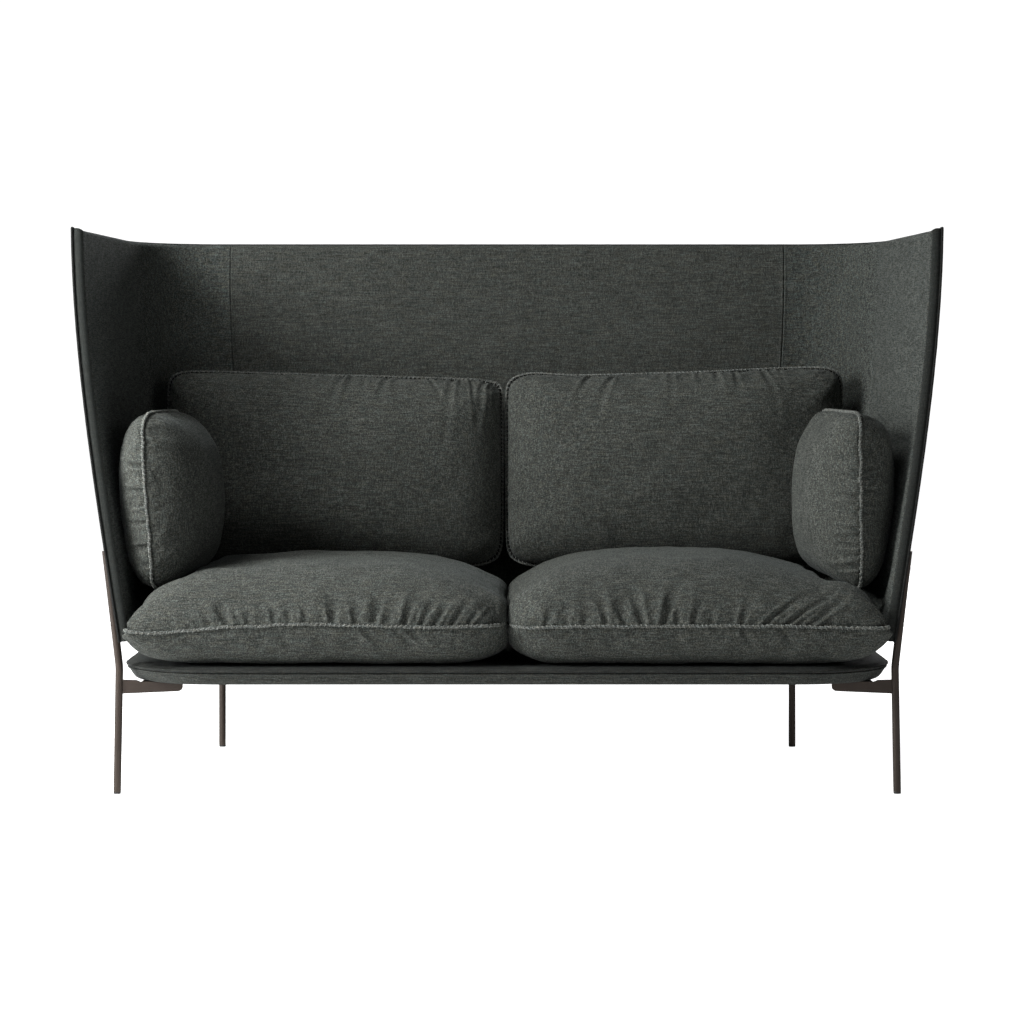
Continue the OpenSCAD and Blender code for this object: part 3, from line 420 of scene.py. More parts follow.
def shell_cover(name, section, face_d, inward, part):
    """One panel of a cover: 'wing' (right) or 'back'. section lists (d, e) from the
    face round the edge; e is how far beyond the covers' edge, d the depth."""
    ns = len(section)
    cols = []
    if part == "wing":
        cols += [(0, -e, i + 1) for i, (d, e) in reversed(list(enumerate(section)))]
        cols += [(1, v, 0) for v in np.linspace(0, 1, 46)]
        cols += [(2, v, 0) for v in np.linspace(0, 1, 34)[1:-1]]
        cols += [(3, v, 0) for v in (9, 7, 5.4, 4.2, 3.2, 2.4, 1.7, 1.1, 0.6, 0.0)]
    else:
        cols += [(3, v, 0) for v in (0.0, -0.6, -1.1, -1.7, -2.4, -3.2, -4.2, -5.4, -7, -9, -12)]
        cols += [(4, v, 0) for v in np.linspace(1, -1, 90)]
        cols += [(5, v, 0) for v in (12, 9, 7, 5.4, 4.2, 3.2, 2.4, 1.7, 1.1, 0.6, 0.0)]
    rows = [(Z0 - e, i + 1) for i, (d, e) in reversed(list(enumerate(section)))]
    rows += [(z, 0) for z in np.linspace(Z0 + 14, Z1 - 14, 88)]
    rows += [(Z1 + e, i + 1) for i, (d, e) in enumerate(section)]
    z = np.array([r[0] for r in rows], float)
    rq = np.array([r[1] for r in rows])
    grid = np.zeros((len(rows), len(cols), 3))
    for j, (kind, value, cq) in enumerate(cols):
        q = np.maximum(rq, cq)
        d = np.where(q > 0, np.array([face_d] + [s[0] for s in section])[q], face_d)
        sign = 1
        k, v = kind, value
        if kind == 5:
            k, v, sign = 3, -value, -1
        p, n = shell_point(z, k, v, d)
        if kind in (3, 5):
            g = value
            p = p - n * (inward * seam_depth(g))[..., None] * (1 if q is None else 1)
        p[:, 0] *= sign
        n[:, 0] *= sign
        # gentle unevenness of the padding, none at the edges
        flat = p.reshape(-1, 3)
        soft = np.where(q == 0, 1.0, 0.25) * (0 if kind in (3, 5) and abs(value) < 6 else 1)
        lift = 0.55 * waves(flat, 11, 170) + 0.35 * waves(flat, 12, 60)
        grid[:, j] = p - n * (inward * lift * soft)[:, None]
    obj = make_mesh(name, grid.reshape(-1, 3), grid_faces(len(rows), len(cols)))
    return tidy(obj)


IN_SECTION = [(20.0, -11), (20.0, -8), (19.6, -5.4), (18.7, -3.2), (17.2, -1.3), (15.2, 0.4), (12.8, 1.6), (10.2, 2.2), (7.8, 2.3), (5.6, 2.2), (4.4, 1.8), (3.2, 1.3), (1.6, 0.9), (0.4, 0.7), (-0.6, 0.6)]
OUT_SECTION = [(0.0, -11), (0.0, -8), (0.0, -5), (0.0, -2.8), (-0.1, -1.2), (0.1, -0.2), (0.8, 0.3)]


def mirrored(obj, name):
    """A copy mirrored in X, with its faces turned the right way round."""
    mesh = obj.data.copy()
    co = np.zeros(len(mesh.vertices) * 3, np.float32)
    mesh.vertices.foreach_get("co", co)
    co = co.reshape(-1, 3)
    co[:, 0] *= -1
    mesh.vertices.foreach_set("co", co.ravel())
    mesh.flip_normals()
    mesh.update()
    twin = bpy.data.objects.new(name, mesh)
    bpy.context.scene.collection.objects.link(twin)
    return twin


inner_right = shell_cover("inner_panel_right", IN_SECTION, 20.0, 1 * -1, "wing")
inner_left = mirrored(inner_right, "inner_panel_left")
inner_back = shell_cover("inner_panel_back", IN_SECTION, 20.0, 1 * -1, "back")
outer_right = shell_cover("outer_panel_right", OUT_SECTION, 0.0, 1, "wing")
outer_left = mirrored(outer_right, "outer_panel_left")
outer_back = shell_cover("outer_panel_back", OUT_SECTION, 0.0, 1, "back")
finish_piece(inner_right, M_SIDE, "frame", ["inner_cover_right"])
finish_piece(inner_left, M_SIDE, "frame", ["inner_cover_left"])
finish_piece(inner_back, M_SHELL, "frame", ["inner_cover_back", "shell_inner_padding"])
finish_piece(outer_right, M_SHELL, "frame", ["outer_cover_right"])
finish_piece(outer_left, M_SHELL, "frame", ["outer_cover_left"])
finish_piece(outer_back, M_SHELL, "frame", ["outer_cover_back", "shell_outer_padding"])


# welt: a piped cord round the whole edge, with the fabric's slight unevenness
def welt_path():
    pts = []
    zz = np.linspace(Z0 - 1.5, Z1 + 1.5, 110)
    for z in zz:
        p, n = shell_point(np.array([z]), 0, -2.7, -1.5)
        pts.append(p[0])
    top = Z1 + 2.7
    for v in (-1.2, 3, 8):
        pts.append(shell_point(np.array([top]), 0, v, -1.5)[0][0])
    for v in np.linspace(0, 1, 50):
        pts.append(shell_point(np.array([top]), 1, v, -1.5)[0][0])
    for v in np.linspace(0, 1, 40)[1:]:
        pts.append(shell_point(np.array([top]), 2, v, -1.5)[0][0])
    for v in (-10, ):
        pts.append(shell_point(np.array([top]), 3, v, -1.5)[0][0])
    for v in np.linspace(1, 0, 60):
        pts.append(shell_point(np.array([top]), 4, v, -1.5)[0][0])
    half_top = pts
    low = []
    bottom = Z0 - 2.7
    for v in np.linspace(0, 1, 60):
        low.append(shell_point(np.array([bottom]), 4, v, -1.5)[0][0])
    low.append(shell_point(np.array([bottom]), 3, -10, -1.5)[0][0])
    for v in np.linspace(1, 0, 40)[:-1]:
        low.append(shell_point(np.array([bottom]), 2, v, -1.5)[0][0])
    for v in np.linspace(1, 0, 50):
        low.append(shell_point(np.array([bottom]), 1, v, -1.5)[0][0])
    for v in (8, 3, -1.2):
        low.append(shell_point(np.array([bottom]), 0, v, -1.5)[0][0])
    right = low[1:] + half_top
    right = np.array(right)
    left = right[::-1].copy()
    left[:, 0] *= -1
    return np.concatenate([right, left[1:]])


path = welt_path()
radius = 2.42 + 0.08 * waves(path, 21, 26) + 0.04 * waves(path, 22, 9)
pts, faces = tube(path, radius, sides=12)
welt = make_mesh("edge_welt", pts, faces)
finish_piece(welt, M_WELT, "frame", ["shell_edge_welt"])


# ---------------------------------------------------------------- base pad
BW, BF, BR, RF, RR = 756.0, -412.0, 285.0, 186.0, 230.0


def base_outline(inset, steps=26, straight=60):
    pts = []
    def arc(cx, cy, r, a0):
        for a in np.linspace(a0, a0 + 90, steps):
            t = math.radians(a)
            pts.append((cx + r * math.cos(t), cy + r * math.sin(t)))
    def line(a, b, n):
        for t in np.linspace(0, 1, n + 2)[1:-1]:
            pts.append((a[0] + (b[0] - a[0]) * t, a[1] + (b[1] - a[1]) * t))
    arc(BW - RF, BF + RF, RF - inset, -90)
    line((BW - inset, BF + RF), (BW - inset, BR - RR), 24)
    arc(BW - RR, BR - RR, RR - inset, 0)
    line((BW - RR, BR - inset), (-(BW - RR), BR - inset), straight)
    arc(-(BW - RR), BR - RR, RR - inset, 90)
    line((-(BW - inset), BR - RR), (-(BW - inset), BF + RF), 24)
    arc(-(BW - RF), BF + RF, RF - inset, 180)
    line((-(BW - RF), BF + inset), (BW - RF, BF + inset), straight)
    return np.array(pts)


def base_rings(section, seed, amount):
    rings = []
    for i, (inset, z) in enumerate(section):
        o = base_outline(inset)
        p = np.column_stack([o, np.full(len(o), z)])
        w = waves(p * [1, 1, 0.4], seed, 90) + 0.5 * waves(p * [1, 1, 0.4], seed + 1, 34)
        p[:, 2] += amount[i] * w
        rings.append(p)
    return rings


def ring_mesh(name, rings, cap=None):
    n = len(rings[0])
    pts = np.concatenate(rings)
    faces = grid_faces(len(rings), n, wrap_c=True)
    if cap is not None:
        pts = np.concatenate([pts, [cap]])
        k = (len(rings) - 1) * n
        faces += [(k + i, k + (i + 1) % n, len(pts) - 1) for i in range(n)]
    return tidy(make_mesh(name, pts, faces))


top_section = [(6.4, 241.6), (4.2, 242.0), (1.9, 243.0), (0.3, 244.6), (0.0, 246.2), (0.7, 247.4), (2.4, 248.0), (4.4, 247.8), (6.0, 248.1), (8.0, 249.0), (11, 250.4), (15, 251.4), (22, 252.0), (34, 252.2), (60, 252.3), (110, 252.3)]
rings = base_rings(top_section, 31, [0, .1, .2, .3, .35, .35, .35, .3, .3, .35, .3, .25, .2, .15, 0.1, 0])
inner_ring = rings[-1]
rings += [inner_ring * [0.75, 0.6, 1] + [0, -20, 0], inner_ring * [0.4, 0.2, 1] + [0, -50, 0]]
base_top = ring_mesh("base_top", rings, (0, -60, 252.3))
# the base top takes the darker copy of the base fabric, painted shade for the seats' contact shadow
finish_piece(base_top, M_DECK_PAINTED_SHADE, "frame", ["base_top_cover"])
low_section = [(6.4, 241.3), (4.9, 240.9), (3.3, 240.2), (2.8, 239.4), (3.2, 238.5), (4.4, 237.8), (5.6, 236.8), (6.9, 235.2), (8.6, 232.4), (10.6, 229.2), (12.8, 226.0), (15.2, 222.9), (17.6, 220.6), (20.0, 219.1), (22.6, 218.3), (26, 218.02), (32, 218.0)]
rings = base_rings(low_section, 35, [0, 0, .1, .2, .2, .2, .2, .3, .35, .4, .35, .3, .2, .1, 0.05, 0, 0])
base_low = ring_mesh("base_lower", rings)
finish_piece(base_low, M_BASE, "frame", ["base_lower_cover", "base_foam_pad"])


# ---------------------------------------------------------------- cushions
def outline(a, b, n, t):
    """A superellipse; n is (towards -v, towards +v)."""
    c, s = np.cos(t), np.sin(t)
    e = np.where(s < 0, 2 / n[0], 2 / n[1])
    return np.stack([a * np.sign(c) * np.abs(c) ** e, b * np.sign(s) * np.abs(s) ** e], -1)


def outline_path(a, b, n, step):
    """Points at even spacing round the outline, anticlockwise from +u."""
    t = np.linspace(0, 2 * math.pi, 12000, endpoint=False)
    p = outline(a, b, n, t)
    seg = np.linalg.norm(np.roll(p, -1, 0) - p, axis=1)
    total = seg.sum()
    count = int(round(total / step))
    at = np.concatenate([[0], np.cumsum(seg)])
    want = np.arange(count) / count * total
    pp = np.concatenate([p, p[:1]])
    return np.stack([np.interp(want, at, pp[:, i]) for i in (0, 1)], -1), total


def full(r, p, q):
    return np.maximum(0, 1 - np.clip(r, 0, 1) ** p) ** (1 / q)


def seat_dent(x, y):
    edge = 252 - 28 * np.clip((y + 220) / 435, 0, 1)
    return 1 - (1 - 0.35 * ss((x - edge) / 48) * ss((y + 250) / 60)) * (1 - 0.31 * ss((y - 175) / 70))


def radii_by_arc(size, h, p, q, step):
    r = np.linspace(0, 1, 4001)
    r = 1 - (1 - r) ** 2.0
    y = h * full(r, p, q)
    seg = np.hypot(np.diff(r) * size, np.diff(y))
    at = np.concatenate([[0], np.cumsum(seg)])
    n = int(round(at[-1] / step))
    return np.interp(np.arange(n + 1) / n * at[-1], at, r)


def panel_grid(a, b, n, h, p, q, step, dent=None, core=3.0):
    """A crowned panel over its outline, and each point's distance w from the seam."""
    ra = radii_by_arc(a, h, p, q, step)
    rb = radii_by_arc(b, h, p, q, step)
    u = np.concatenate([-ra[::-1], ra[1:]])
    v = np.concatenate([-rb[::-1], rb[1:]])
    U, V = np.meshgrid(u, v)
    inf = np.maximum(np.abs(U), np.abs(V))
    # square at the seam, rounder towards the crown, so the corners stay thin
    e = np.where(V < 0, n[0], n[1])
    e = core + (e - core) * np.clip(inf, 0, 1) ** 5
    nn = (np.abs(U) ** e + np.abs(V) ** e) ** (1 / e)
    f = np.where(nn > 1e-9, inf / np.maximum(nn, 1e-9), 1)
    X, Y = a * U * f, b * V * f
    Z = h * full(inf, p, q)
    if dent is not None:
        Z = Z * (1 - dent(X, Y))
    size = min(a, b)
    rr = np.linspace(0, 1, 2001)
    rr = 1 - (1 - rr) ** 2
    arc = np.concatenate([[0], np.cumsum(np.hypot(np.diff(rr) * size, np.diff(h * full(rr, p, q))))])
    W = arc[-1] - np.interp(inf, rr, arc)
    return np.stack([X, Y, Z], -1), inf, W


def grid_normals(g):
    n = np.cross(np.gradient(g, axis=1), np.gradient(g, axis=0))
    return n / np.maximum(np.linalg.norm(n, axis=-1), 1e-9)[..., None]


def blur(g, k, passes=3):
    """A box blur along both grid directions."""
    for _ in range(passes):
        for ax in (0, 1):
            pad = [(0, 0)] * g.ndim
            pad[ax] = (k, k)
            c = np.cumsum(np.pad(g, pad, mode="edge"), axis=ax)
            c = np.concatenate([np.zeros_like(np.take(c, [0], axis=ax)), c], axis=ax)
            m = c.shape[ax]
            g = (np.take(c, range(2 * k + 1, m), axis=ax) - np.take(c, range(0, m - 2 * k - 1), axis=ax)) / (2 * k + 1)
    return g


def denser(g):
    """Twice the grid points each way, on smooth curves through the old ones."""
    for ax in (0, 1):
        g = np.moveaxis(g, ax, 0)
        p = np.concatenate([2 * g[:1] - g[1:2], g, 2 * g[-1:] - g[-2:-1]])
        out = np.empty((2 * len(g) - 1,) + g.shape[1:])
        out[0::2] = g
        out[1::2] = (9 * (p[1:-2] + p[2:-1]) - p[:-3] - p[3:]) / 16
        g = np.moveaxis(out, 0, ax)
    return g


def folds(x, y, w, list_of_folds, a, b):
    """Small folds that run in from the seam: a soft valley between two narrow ridges,
    one of them the sharper. Each is edge, place along it, width, length, slant, height (mm)."""
    out = np.zeros_like(x)
    for edge, at, width, length, slant, height in list_of_folds:
        lean = 0.35 * math.sin(at * 1.7)
        if edge in ("front", "rear"):
            s, inset = x - at, (b + y) if edge == "front" else (b - y)
        else:
            s, inset = y - at, (a - x) if edge == "right" else (a + x)
        reach = np.maximum(w, inset)
        along = s - slant * reach
        spread = width * (0.8 + 0.5 * np.minimum(reach / length, 2.0))
        valley = -0.9 * np.exp(-np.abs(along / (1.05 * spread)) ** 2.1)
        ridges = (0.6 + lean) * np.exp(-((along - 1.6 * spread) / (0.65 * spread)) ** 2) + (0.6 - lean) * np.exp(-((along + 1.6 * spread) / (0.65 * spread)) ** 2)
        out += 0.9 * height * (valley + ridges) * np.exp(-np.abs(reach / length) ** 2.2) * ss(w / 4.0)
    return out


def random_folds(seed, edge, lo, hi, spacing, width, length, height, slant=0.0, fan=0.0):
    rng = np.random.RandomState(seed)
    out = []
    at = lo
    mid, half = (lo + hi) / 2, (hi - lo) / 2
    while at < hi:
        k = (at - mid) / half
        out.append((edge, at, width * rng.uniform(0.7, 1.35), length * rng.uniform(0.55, 1.4),
                    slant + fan * k + rng.uniform(-0.18, 0.18), height * rng.uniform(0.45, 1.3)))
        at += spacing * rng.uniform(0.6, 1.5)
    return out


def simulate(g, inf, seed, spare, pressure):
    """Cloth under pressure, held at its seam, with some spare fabric: it gathers
    there into small folds. Returns how far each point moves, in mm."""
    rows, cols = inf.shape
    rng = np.random.RandomState(seed)
    start = g.reshape(-1, 3) / 1000.0
    start = start + rng.normal(size=start.shape) * 0.00015 * (inf.reshape(-1, 1) < 0.999)
    mesh = bpy.data.meshes.new("cloth_step")
    mesh.from_pydata(start.tolist(), [], grid_faces(rows, cols))
    mesh.update()
    obj = bpy.data.objects.new("cloth_step", mesh)
    bpy.context.scene.collection.objects.link(obj)
    pin = obj.vertex_groups.new(name="pin")
    pin.add([int(i) for i in np.where(inf.reshape(-1) > 0.9999)[0]], 1.0, "REPLACE")
    cloth = obj.modifiers.new("cloth", "CLOTH")
    st = cloth.settings
    st.quality = 4
    st.mass = 0.15
    st.tension_stiffness = st.compression_stiffness = 30
    st.shear_stiffness = 10
    st.bending_stiffness = 0.35
    st.tension_damping = st.compression_damping = st.shear_damping = 8
    st.air_damping = 2
    st.use_pressure = True
    st.uniform_pressure_force = pressure
    st.effector_weights.gravity = 0
    st.vertex_group_mass = "pin"
    st.shrink_min = -spare
    cloth.collision_settings.use_collision = False
    cloth.point_cache.frame_start = 1
    cloth.point_cache.frame_end = 25
    for k in range(1, 21):
        bpy.context.scene.frame_set(k)
    view = obj.evaluated_get(bpy.context.evaluated_depsgraph_get())
    moved = np.zeros(len(start) * 3, np.float32)
    view.data.vertices.foreach_get("co", moved)
    moved = (moved.reshape(-1, 3) - start).reshape(rows, cols, 3) * 1000.0
    bpy.data.objects.remove(obj)
    bpy.data.meshes.remove(mesh)
    bpy.context.scene.frame_set(1)
    return moved


def place(kind, side):
    """Rotation and offset of a right-hand cushion's own frame, in mm."""
    if kind == "seat":
        return np.eye(3), np.array([363.0, -80.0, 333.0])
    if kind == "back":
        t = math.atan(106 / 808)
        return np.array([[1, 0, 0], [0, math.sin(t), -math.cos(t)], [0, math.cos(t), math.sin(t)]]), np.array([365.0, 235.0, 607.0])
    yaw, roll, mid = (math.radians(3.5), math.radians(2.2), 686.0) if side == "left" else (math.radians(2.5), math.radians(2.2), 674.0)
    rz = np.array([[math.cos(yaw), -math.sin(yaw), 0], [math.sin(yaw), math.cos(yaw), 0], [0, 0, 1]])
    ry = np.array([[math.cos(roll), 0, math.sin(roll)], [0, 1, 0], [-math.sin(roll), 0, math.cos(roll)]])
    return rz @ ry @ np.array([[0, 0, 1], [1, 0, 0], [0, 1, 0]], float), np.array([mid, -100.0, 569.5])


# up is the top of a seat, the front of a back cushion and the outer side of an arm
CUSHIONS = {
    "seat": dict(a=362.5, b=350.0, n=(12.0, 5.0), core=(4.5, 9.0), up=(122.0, 3.1, 2.6), down=(79.6, 16.0, 1.7)),
    "back": dict(a=363.0, b=210.5, n=(10.0, 14.0), core=(4.0, 4.0), up=(94.0, 2.6, 2.2), down=(92.0, 2.6, 2.2)),
    "arm": dict(a=235.0, b=174.5, n=(8.0, 8.0), core=(4.0, 2.4)),
}
ARM_SIDES = {"left": dict(n=(8.0, 5.6), up=(74.0, 3.2, 2.4), down=(103.0, 2.4, 2.1)), "right": dict(n=(8.0, 13.0), up=(86.0, 3.4, 2.5), down=(87.0, 2.4, 2.1))}
FLANGE = 7.5
NAMES = {"seat": ("top_cover", "bottom_cover"), "back": ("front_cover", "rear_cover"), "arm": ("outer_cover", "inner_cover")}


def seam_warp(kind, side, x, y, seed):
    """How the seam line strays from its plane: up, and outwards at the corners."""
    c = CUSHIONS[kind]
    a, b = c["a"], c["b"]
    xx, yy = np.abs(x) / a, np.abs(y) / b
    flat = np.column_stack([x.reshape(-1), y.reshape(-1), np.zeros(x.size)])
    up = 0.9 * waves(flat, seed + 7, 160).reshape(x.shape) + 0.55 * waves(flat, seed + 8, 46).reshape(x.shape)
    ear = np.zeros_like(x)
    if kind == "seat":
        if side == "left":
            up += (-12.0 * ss((x - 130) / 190) + 4.5 * np.exp(-((x - 20) / 110) ** 2) + 2.0 * ss((-x - 200) / 120)) * (y < 0) * yy ** 2
        else:
            up += (-4.0 * ss((x - 180) / 150) + 1.5 * (1 - xx ** 2) - 2.0 * ss((-x - 200) / 120)) * (y < 0) * yy ** 2
            up += 11.0 * np.exp(-(np.hypot(x + a, y + b) / 15) ** 2)
        d = np.hypot(np.abs(x) - a, y + b)
        ear = (4.0 + 28.0 * (x > 0)) * np.exp(-(d / 46) ** 2)
        up += (12.0 if side == "left" else 8.0) * (x > 0) * np.exp(-(d / 22) ** 2)
    elif kind == "arm":
        up += (4.0 + 6.0 * y / 170.0) if side == "left" else (5.5 - 7.5 * y / 170.0)
    elif kind == "back":
        d = np.hypot(np.abs(x) - a, np.abs(y) - b)
        ear = 3.0 * np.exp(-(d / 36) ** 2) + 8.0 * (x < 0) * (y > 0) * (side == "left") * np.exp(-(d / 24) ** 2)
    return up, ear


def meander(y):
    """Where the two seats press on each other, as an offset in X."""
    return 2.2 * np.sin((y + 350) / 62.0)


def shape_warp(kind, side, x, y, w, way=0):
    """Moves of the whole form, in the cushion's own frame: where it presses on its
    neighbours and where it swells past them. Returns dx, dy, dz."""
    zero = np.zeros_like(x)
    if kind == "seat":
        turn = 1 if side == "right" else -1
        wall = -362.5 + turn * meander(y)
        press = ss((y + 325) / 60) * ss((240 - y) / 60) * np.exp(-(w / (66 if side == "left" else 54)) ** 4) * ss((-x - 250) / 60)
        dx = (wall - x) * press
        # the front corner swells past the wing's edge
        swell = 32.0 * np.exp(-(w / 90) ** 2) if way < 0 else (27.0 if side == "left" else 22.0) * np.exp(-(w / 85) ** 2)
        swell *= 1 - 0.55 * np.exp(-(w / 9) ** 2)
        dx += swell * ss((x - 200) / 140) * (ss((-y - 270) / 34) if way < 0 else ss((-y - 300) / 22))
        # each crown has its own fall
        off = (1 - np.exp(-(w / 60) ** 2)) * (way > 0)
        if side == "left":
            dz = -6.0 - 5.0 * ss((-x - 120) / 160) - 4.0 * np.exp(-((x - 140) / 60) ** 2)
        else:
            dz = 1.5 - 5.0 * ss((-x - 150) / 150) - 19.0 * ss((x - 60) / 170) * (1 - 0.8 * ss((x - 230) / 80) * ss((-y - 180) / 90))
        return dx, zero, dz * off
    if kind == "back":
        out = ss((x - 230) / 130)
        tilt = 9.5 * x / 330.0 * ss((y + 90) / 240)
        inner_edge = ss((-x - 260) / 80)
        shift = 5.6 * inner_edge if side == "left" else 2.0 * inner_edge - 9.0
        if side == "right":
            tilt = tilt + (5.0 + 4.0 * ss(x / 300) + 9.0 * np.exp(-((x + 310) / 70) ** 2)) * ss((y + 90) / 240)
        return 8.0 * out * np.exp(-(w / 80) ** 2) + shift, tilt, 12.0 * out ** 2
    # the arm's lower front corner hangs a little, its outer side swells against the wing
    swell = 8.0 * np.exp(-((y - 30) / 90) ** 2) if way > 0 else -8.0 * ss((y - 90) / 60) * -way
    return zero, -9.0 * np.exp(-((x + 235) / 90) ** 2) * ss((-y - 100) / 60), swell * way * (1 - np.exp(-(w / 40) ** 2)) if way else zero


def build_cushion(kind, side, step, fold_up, fold_down, seed, gain_up, gain_down):
    c = CUSHIONS[kind] | (ARM_SIDES[side] if kind == "arm" else {})
    a, b, n = c["a"], c["b"], c["n"]
    rot, off = place(kind, side)
    body = f"{kind}_cushion_{side}"
    sign = -1 if side == "left" else 1

    def to_world(p):
        w = p @ rot.T + off
        w[:, 0] *= sign
        return w

    made = []
    for which, (h, p, q), flip, core, fl, gain in (("up", c["up"], 1, c["core"][0], fold_up, gain_up), ("down", c["down"], -1, c["core"][1], fold_down, gain_down)):
        dent = seat_dent if kind == "seat" and which == "up" else None
        fine = step * (0.8 if kind == "arm" else 1.0 if which == "up" else 1.3)
        g, r, w = panel_grid(a - FLANGE, b - FLANGE, n, h - 1.6, p, q, fine, dent, core)
        nrm = grid_normals(g)
        flat = g.reshape(-1, 3)
        x, y = g[..., 0], g[..., 1]
        seeded = g + nrm * 0.6 * folds(x, y, w, fl, a - FLANGE, b - FLANGE)[..., None]
        moved = simulate(seeded, r, seed + (3 if which == "up" else 4), 0.05, 1.5)
        small = moved - blur(moved, 4)
        size = np.linalg.norm(small, axis=-1)[..., None]
        small = small * (7.0 * np.tanh(size / 7.0) / np.maximum(size, 1e-6)) * gain(x, y, w)[..., None]
        # on a grid twice as fine, the small placed folds keep their edges
        g, small, nrm, x, y, w, r = np.split(denser(np.concatenate([g, small, nrm, x[..., None], y[..., None], w[..., None], r[..., None]], -1)), (3, 6, 9, 10, 11, 12), -1)
        x, y, w, r = x[..., 0], y[..., 0], np.maximum(w[..., 0], 0), np.clip(r[..., 0], 0, 1)
        g = g + small
        flat = g.reshape(-1, 3)
        g = g + nrm * folds(x, y, w, fl, a - FLANGE, b - FLANGE)[..., None]
        g = g + nrm * ((1.3 * waves(flat, seed, 150) + 0.5 * waves(flat, seed + 1, 55)).reshape(r.shape) * ss(w / 40))[..., None]
        g[..., 2] = np.maximum(g[..., 2], 0.0) + 1.0
        g[..., 2] *= flip
        up, ear = seam_warp(kind, side, x, y, seed)
        near = np.exp(-(w / 45) ** 2)
        g[..., 2] += up * near
        dx, dy, dz = shape_warp(kind, side, x, y, w, flip)
        g[..., 0] += dx
        g[..., 1] += dy
        g[..., 2] += dz
        size = np.maximum(np.hypot(x, y), 1)
        pull = ear * np.exp(-(w / 16) ** 2)
        g[..., 0] += pull * x / size
        g[..., 1] += pull * y / size
        rows, cols = r.shape
        obj = make_mesh(f"{body}_{which}", to_world(g.reshape(-1, 3)), grid_faces(rows, cols))
        tidy(obj)
        made.append(obj)

    # the filling, a little inside the covers
    fill_pts, fill_faces = [], []
    for (h, p, q), flip, core in ((c["up"], 1, c["core"][0]), (c["down"], -1, c["core"][1])):
        dent = seat_dent if kind == "seat" and flip == 1 else None
        g, r, w = panel_grid(a - 19, b - 19, n, h - 13, p, q, 26, dent, core)
        x, y = g[..., 0].copy(), g[..., 1].copy()
        dx, dy, dz = shape_warp(kind, side, x, y, w + 30, flip)
        g[..., 0] += np.where(x < -200, 0, (0.25 if kind == "seat" else 1.0) * dx)
        g[..., 1] += dy
        g[..., 2] = g[..., 2] * flip + np.minimum(dz, 0 if kind == "seat" else 99)
        base = sum(len(v) for v in fill_pts)
        fill_pts.append(g.reshape(-1, 3))
        fc = grid_faces(*r.shape, base=base)
        fill_faces += fc if flip == 1 else [f[::-1] for f in fc]
    filling = tidy(make_mesh(f"{body}_core", to_world(np.concatenate(fill_pts)), fill_faces), 0.0004)
    finish_piece(filling, M_FIBRE, body, [f"{body}_filling"])

    # the seam: two thin beads whipped together over the edge
    line, total = outline_path(a - 2.4, b - 2.4, n, 1.5)
    up, ear = seam_warp(kind, side, line[:, 0], line[:, 1], seed)
    size = np.maximum(np.hypot(line[:, 0], line[:, 1]), 1)[:, None]
    dx, dy, dz = shape_warp(kind, side, line[:, 0], line[:, 1], np.zeros(len(line)))
    if kind == "seat":
        # pressed walls hide the seam between them
        dx = np.where(line[:, 0] < -200, dx + 3.2 * (dx < -0.5), dx)
    line = line + line / size * ear[:, None] + np.column_stack([dx, dy])
    arc = np.arange(len(line)) / len(line) * total
    up = up + dz + 0.7 * np.sin(arc / 7.3 + 1.6 * np.sin(arc / 31.0)) * (0.6 + 0.4 * np.sin(arc / 53.0))
    count = len(line)
    t = np.roll(line, -1, 0) - np.roll(line, 1, 0)
    t /= np.linalg.norm(t, axis=1)[:, None]
    out = np.stack([t[:, 1], -t[:, 0]], -1)
    pitch = 9.0
    stitches = int(round(total / pitch))
    phase = np.arange(count) / count * stitches * 2 * math.pi
    pinch = np.exp(2.2 * (np.cos(phase) - 1))
    seam_pts, seam_faces = [], []
    turns = int(round(total / 20.0))
    twist = np.arange(count) / count * turns * 2 * math.pi + 0.9 * np.sin(arc / 41.0)
    twist += (math.pi * 2 * round(twist[-1] / (2 * math.pi)) - twist[-1]) * np.arange(count) / count
    for way in (1, -1):
        r = 1.75 + 0.12 * np.sin(arc / 5.1 + way)
        z = up + way * 1.45 * np.cos(twist)
        centre = np.column_stack([line + out * (way * 1.05 * np.sin(twist) - 0.3)[:, None], z])
        pts, fc = tube(centre, r, sides=9)
        base = sum(len(v) for v in seam_pts)
        seam_pts.append(pts)
        seam_faces += [tuple(i + base for i in f) for f in fc]
    seam = make_mesh(f"{body}_seam", to_world(np.concatenate(seam_pts)), seam_faces)
    # the covers' turned-in edges between the rope and the cushion, near-black as painted shade for the shadow under the
    # rope
    neck = [np.column_stack([line - out * inset, up + z]) for inset, z in ((0.0, 0.9), (2.6, 1.0), (9.5, 1.0), (9.5, -1.0), (2.6, -1.0), (0.0, -0.9))]
    flange = make_mesh(f"{body}_flange", to_world(np.concatenate(neck)), grid_faces(len(neck), count, wrap_r=True, wrap_c=True))
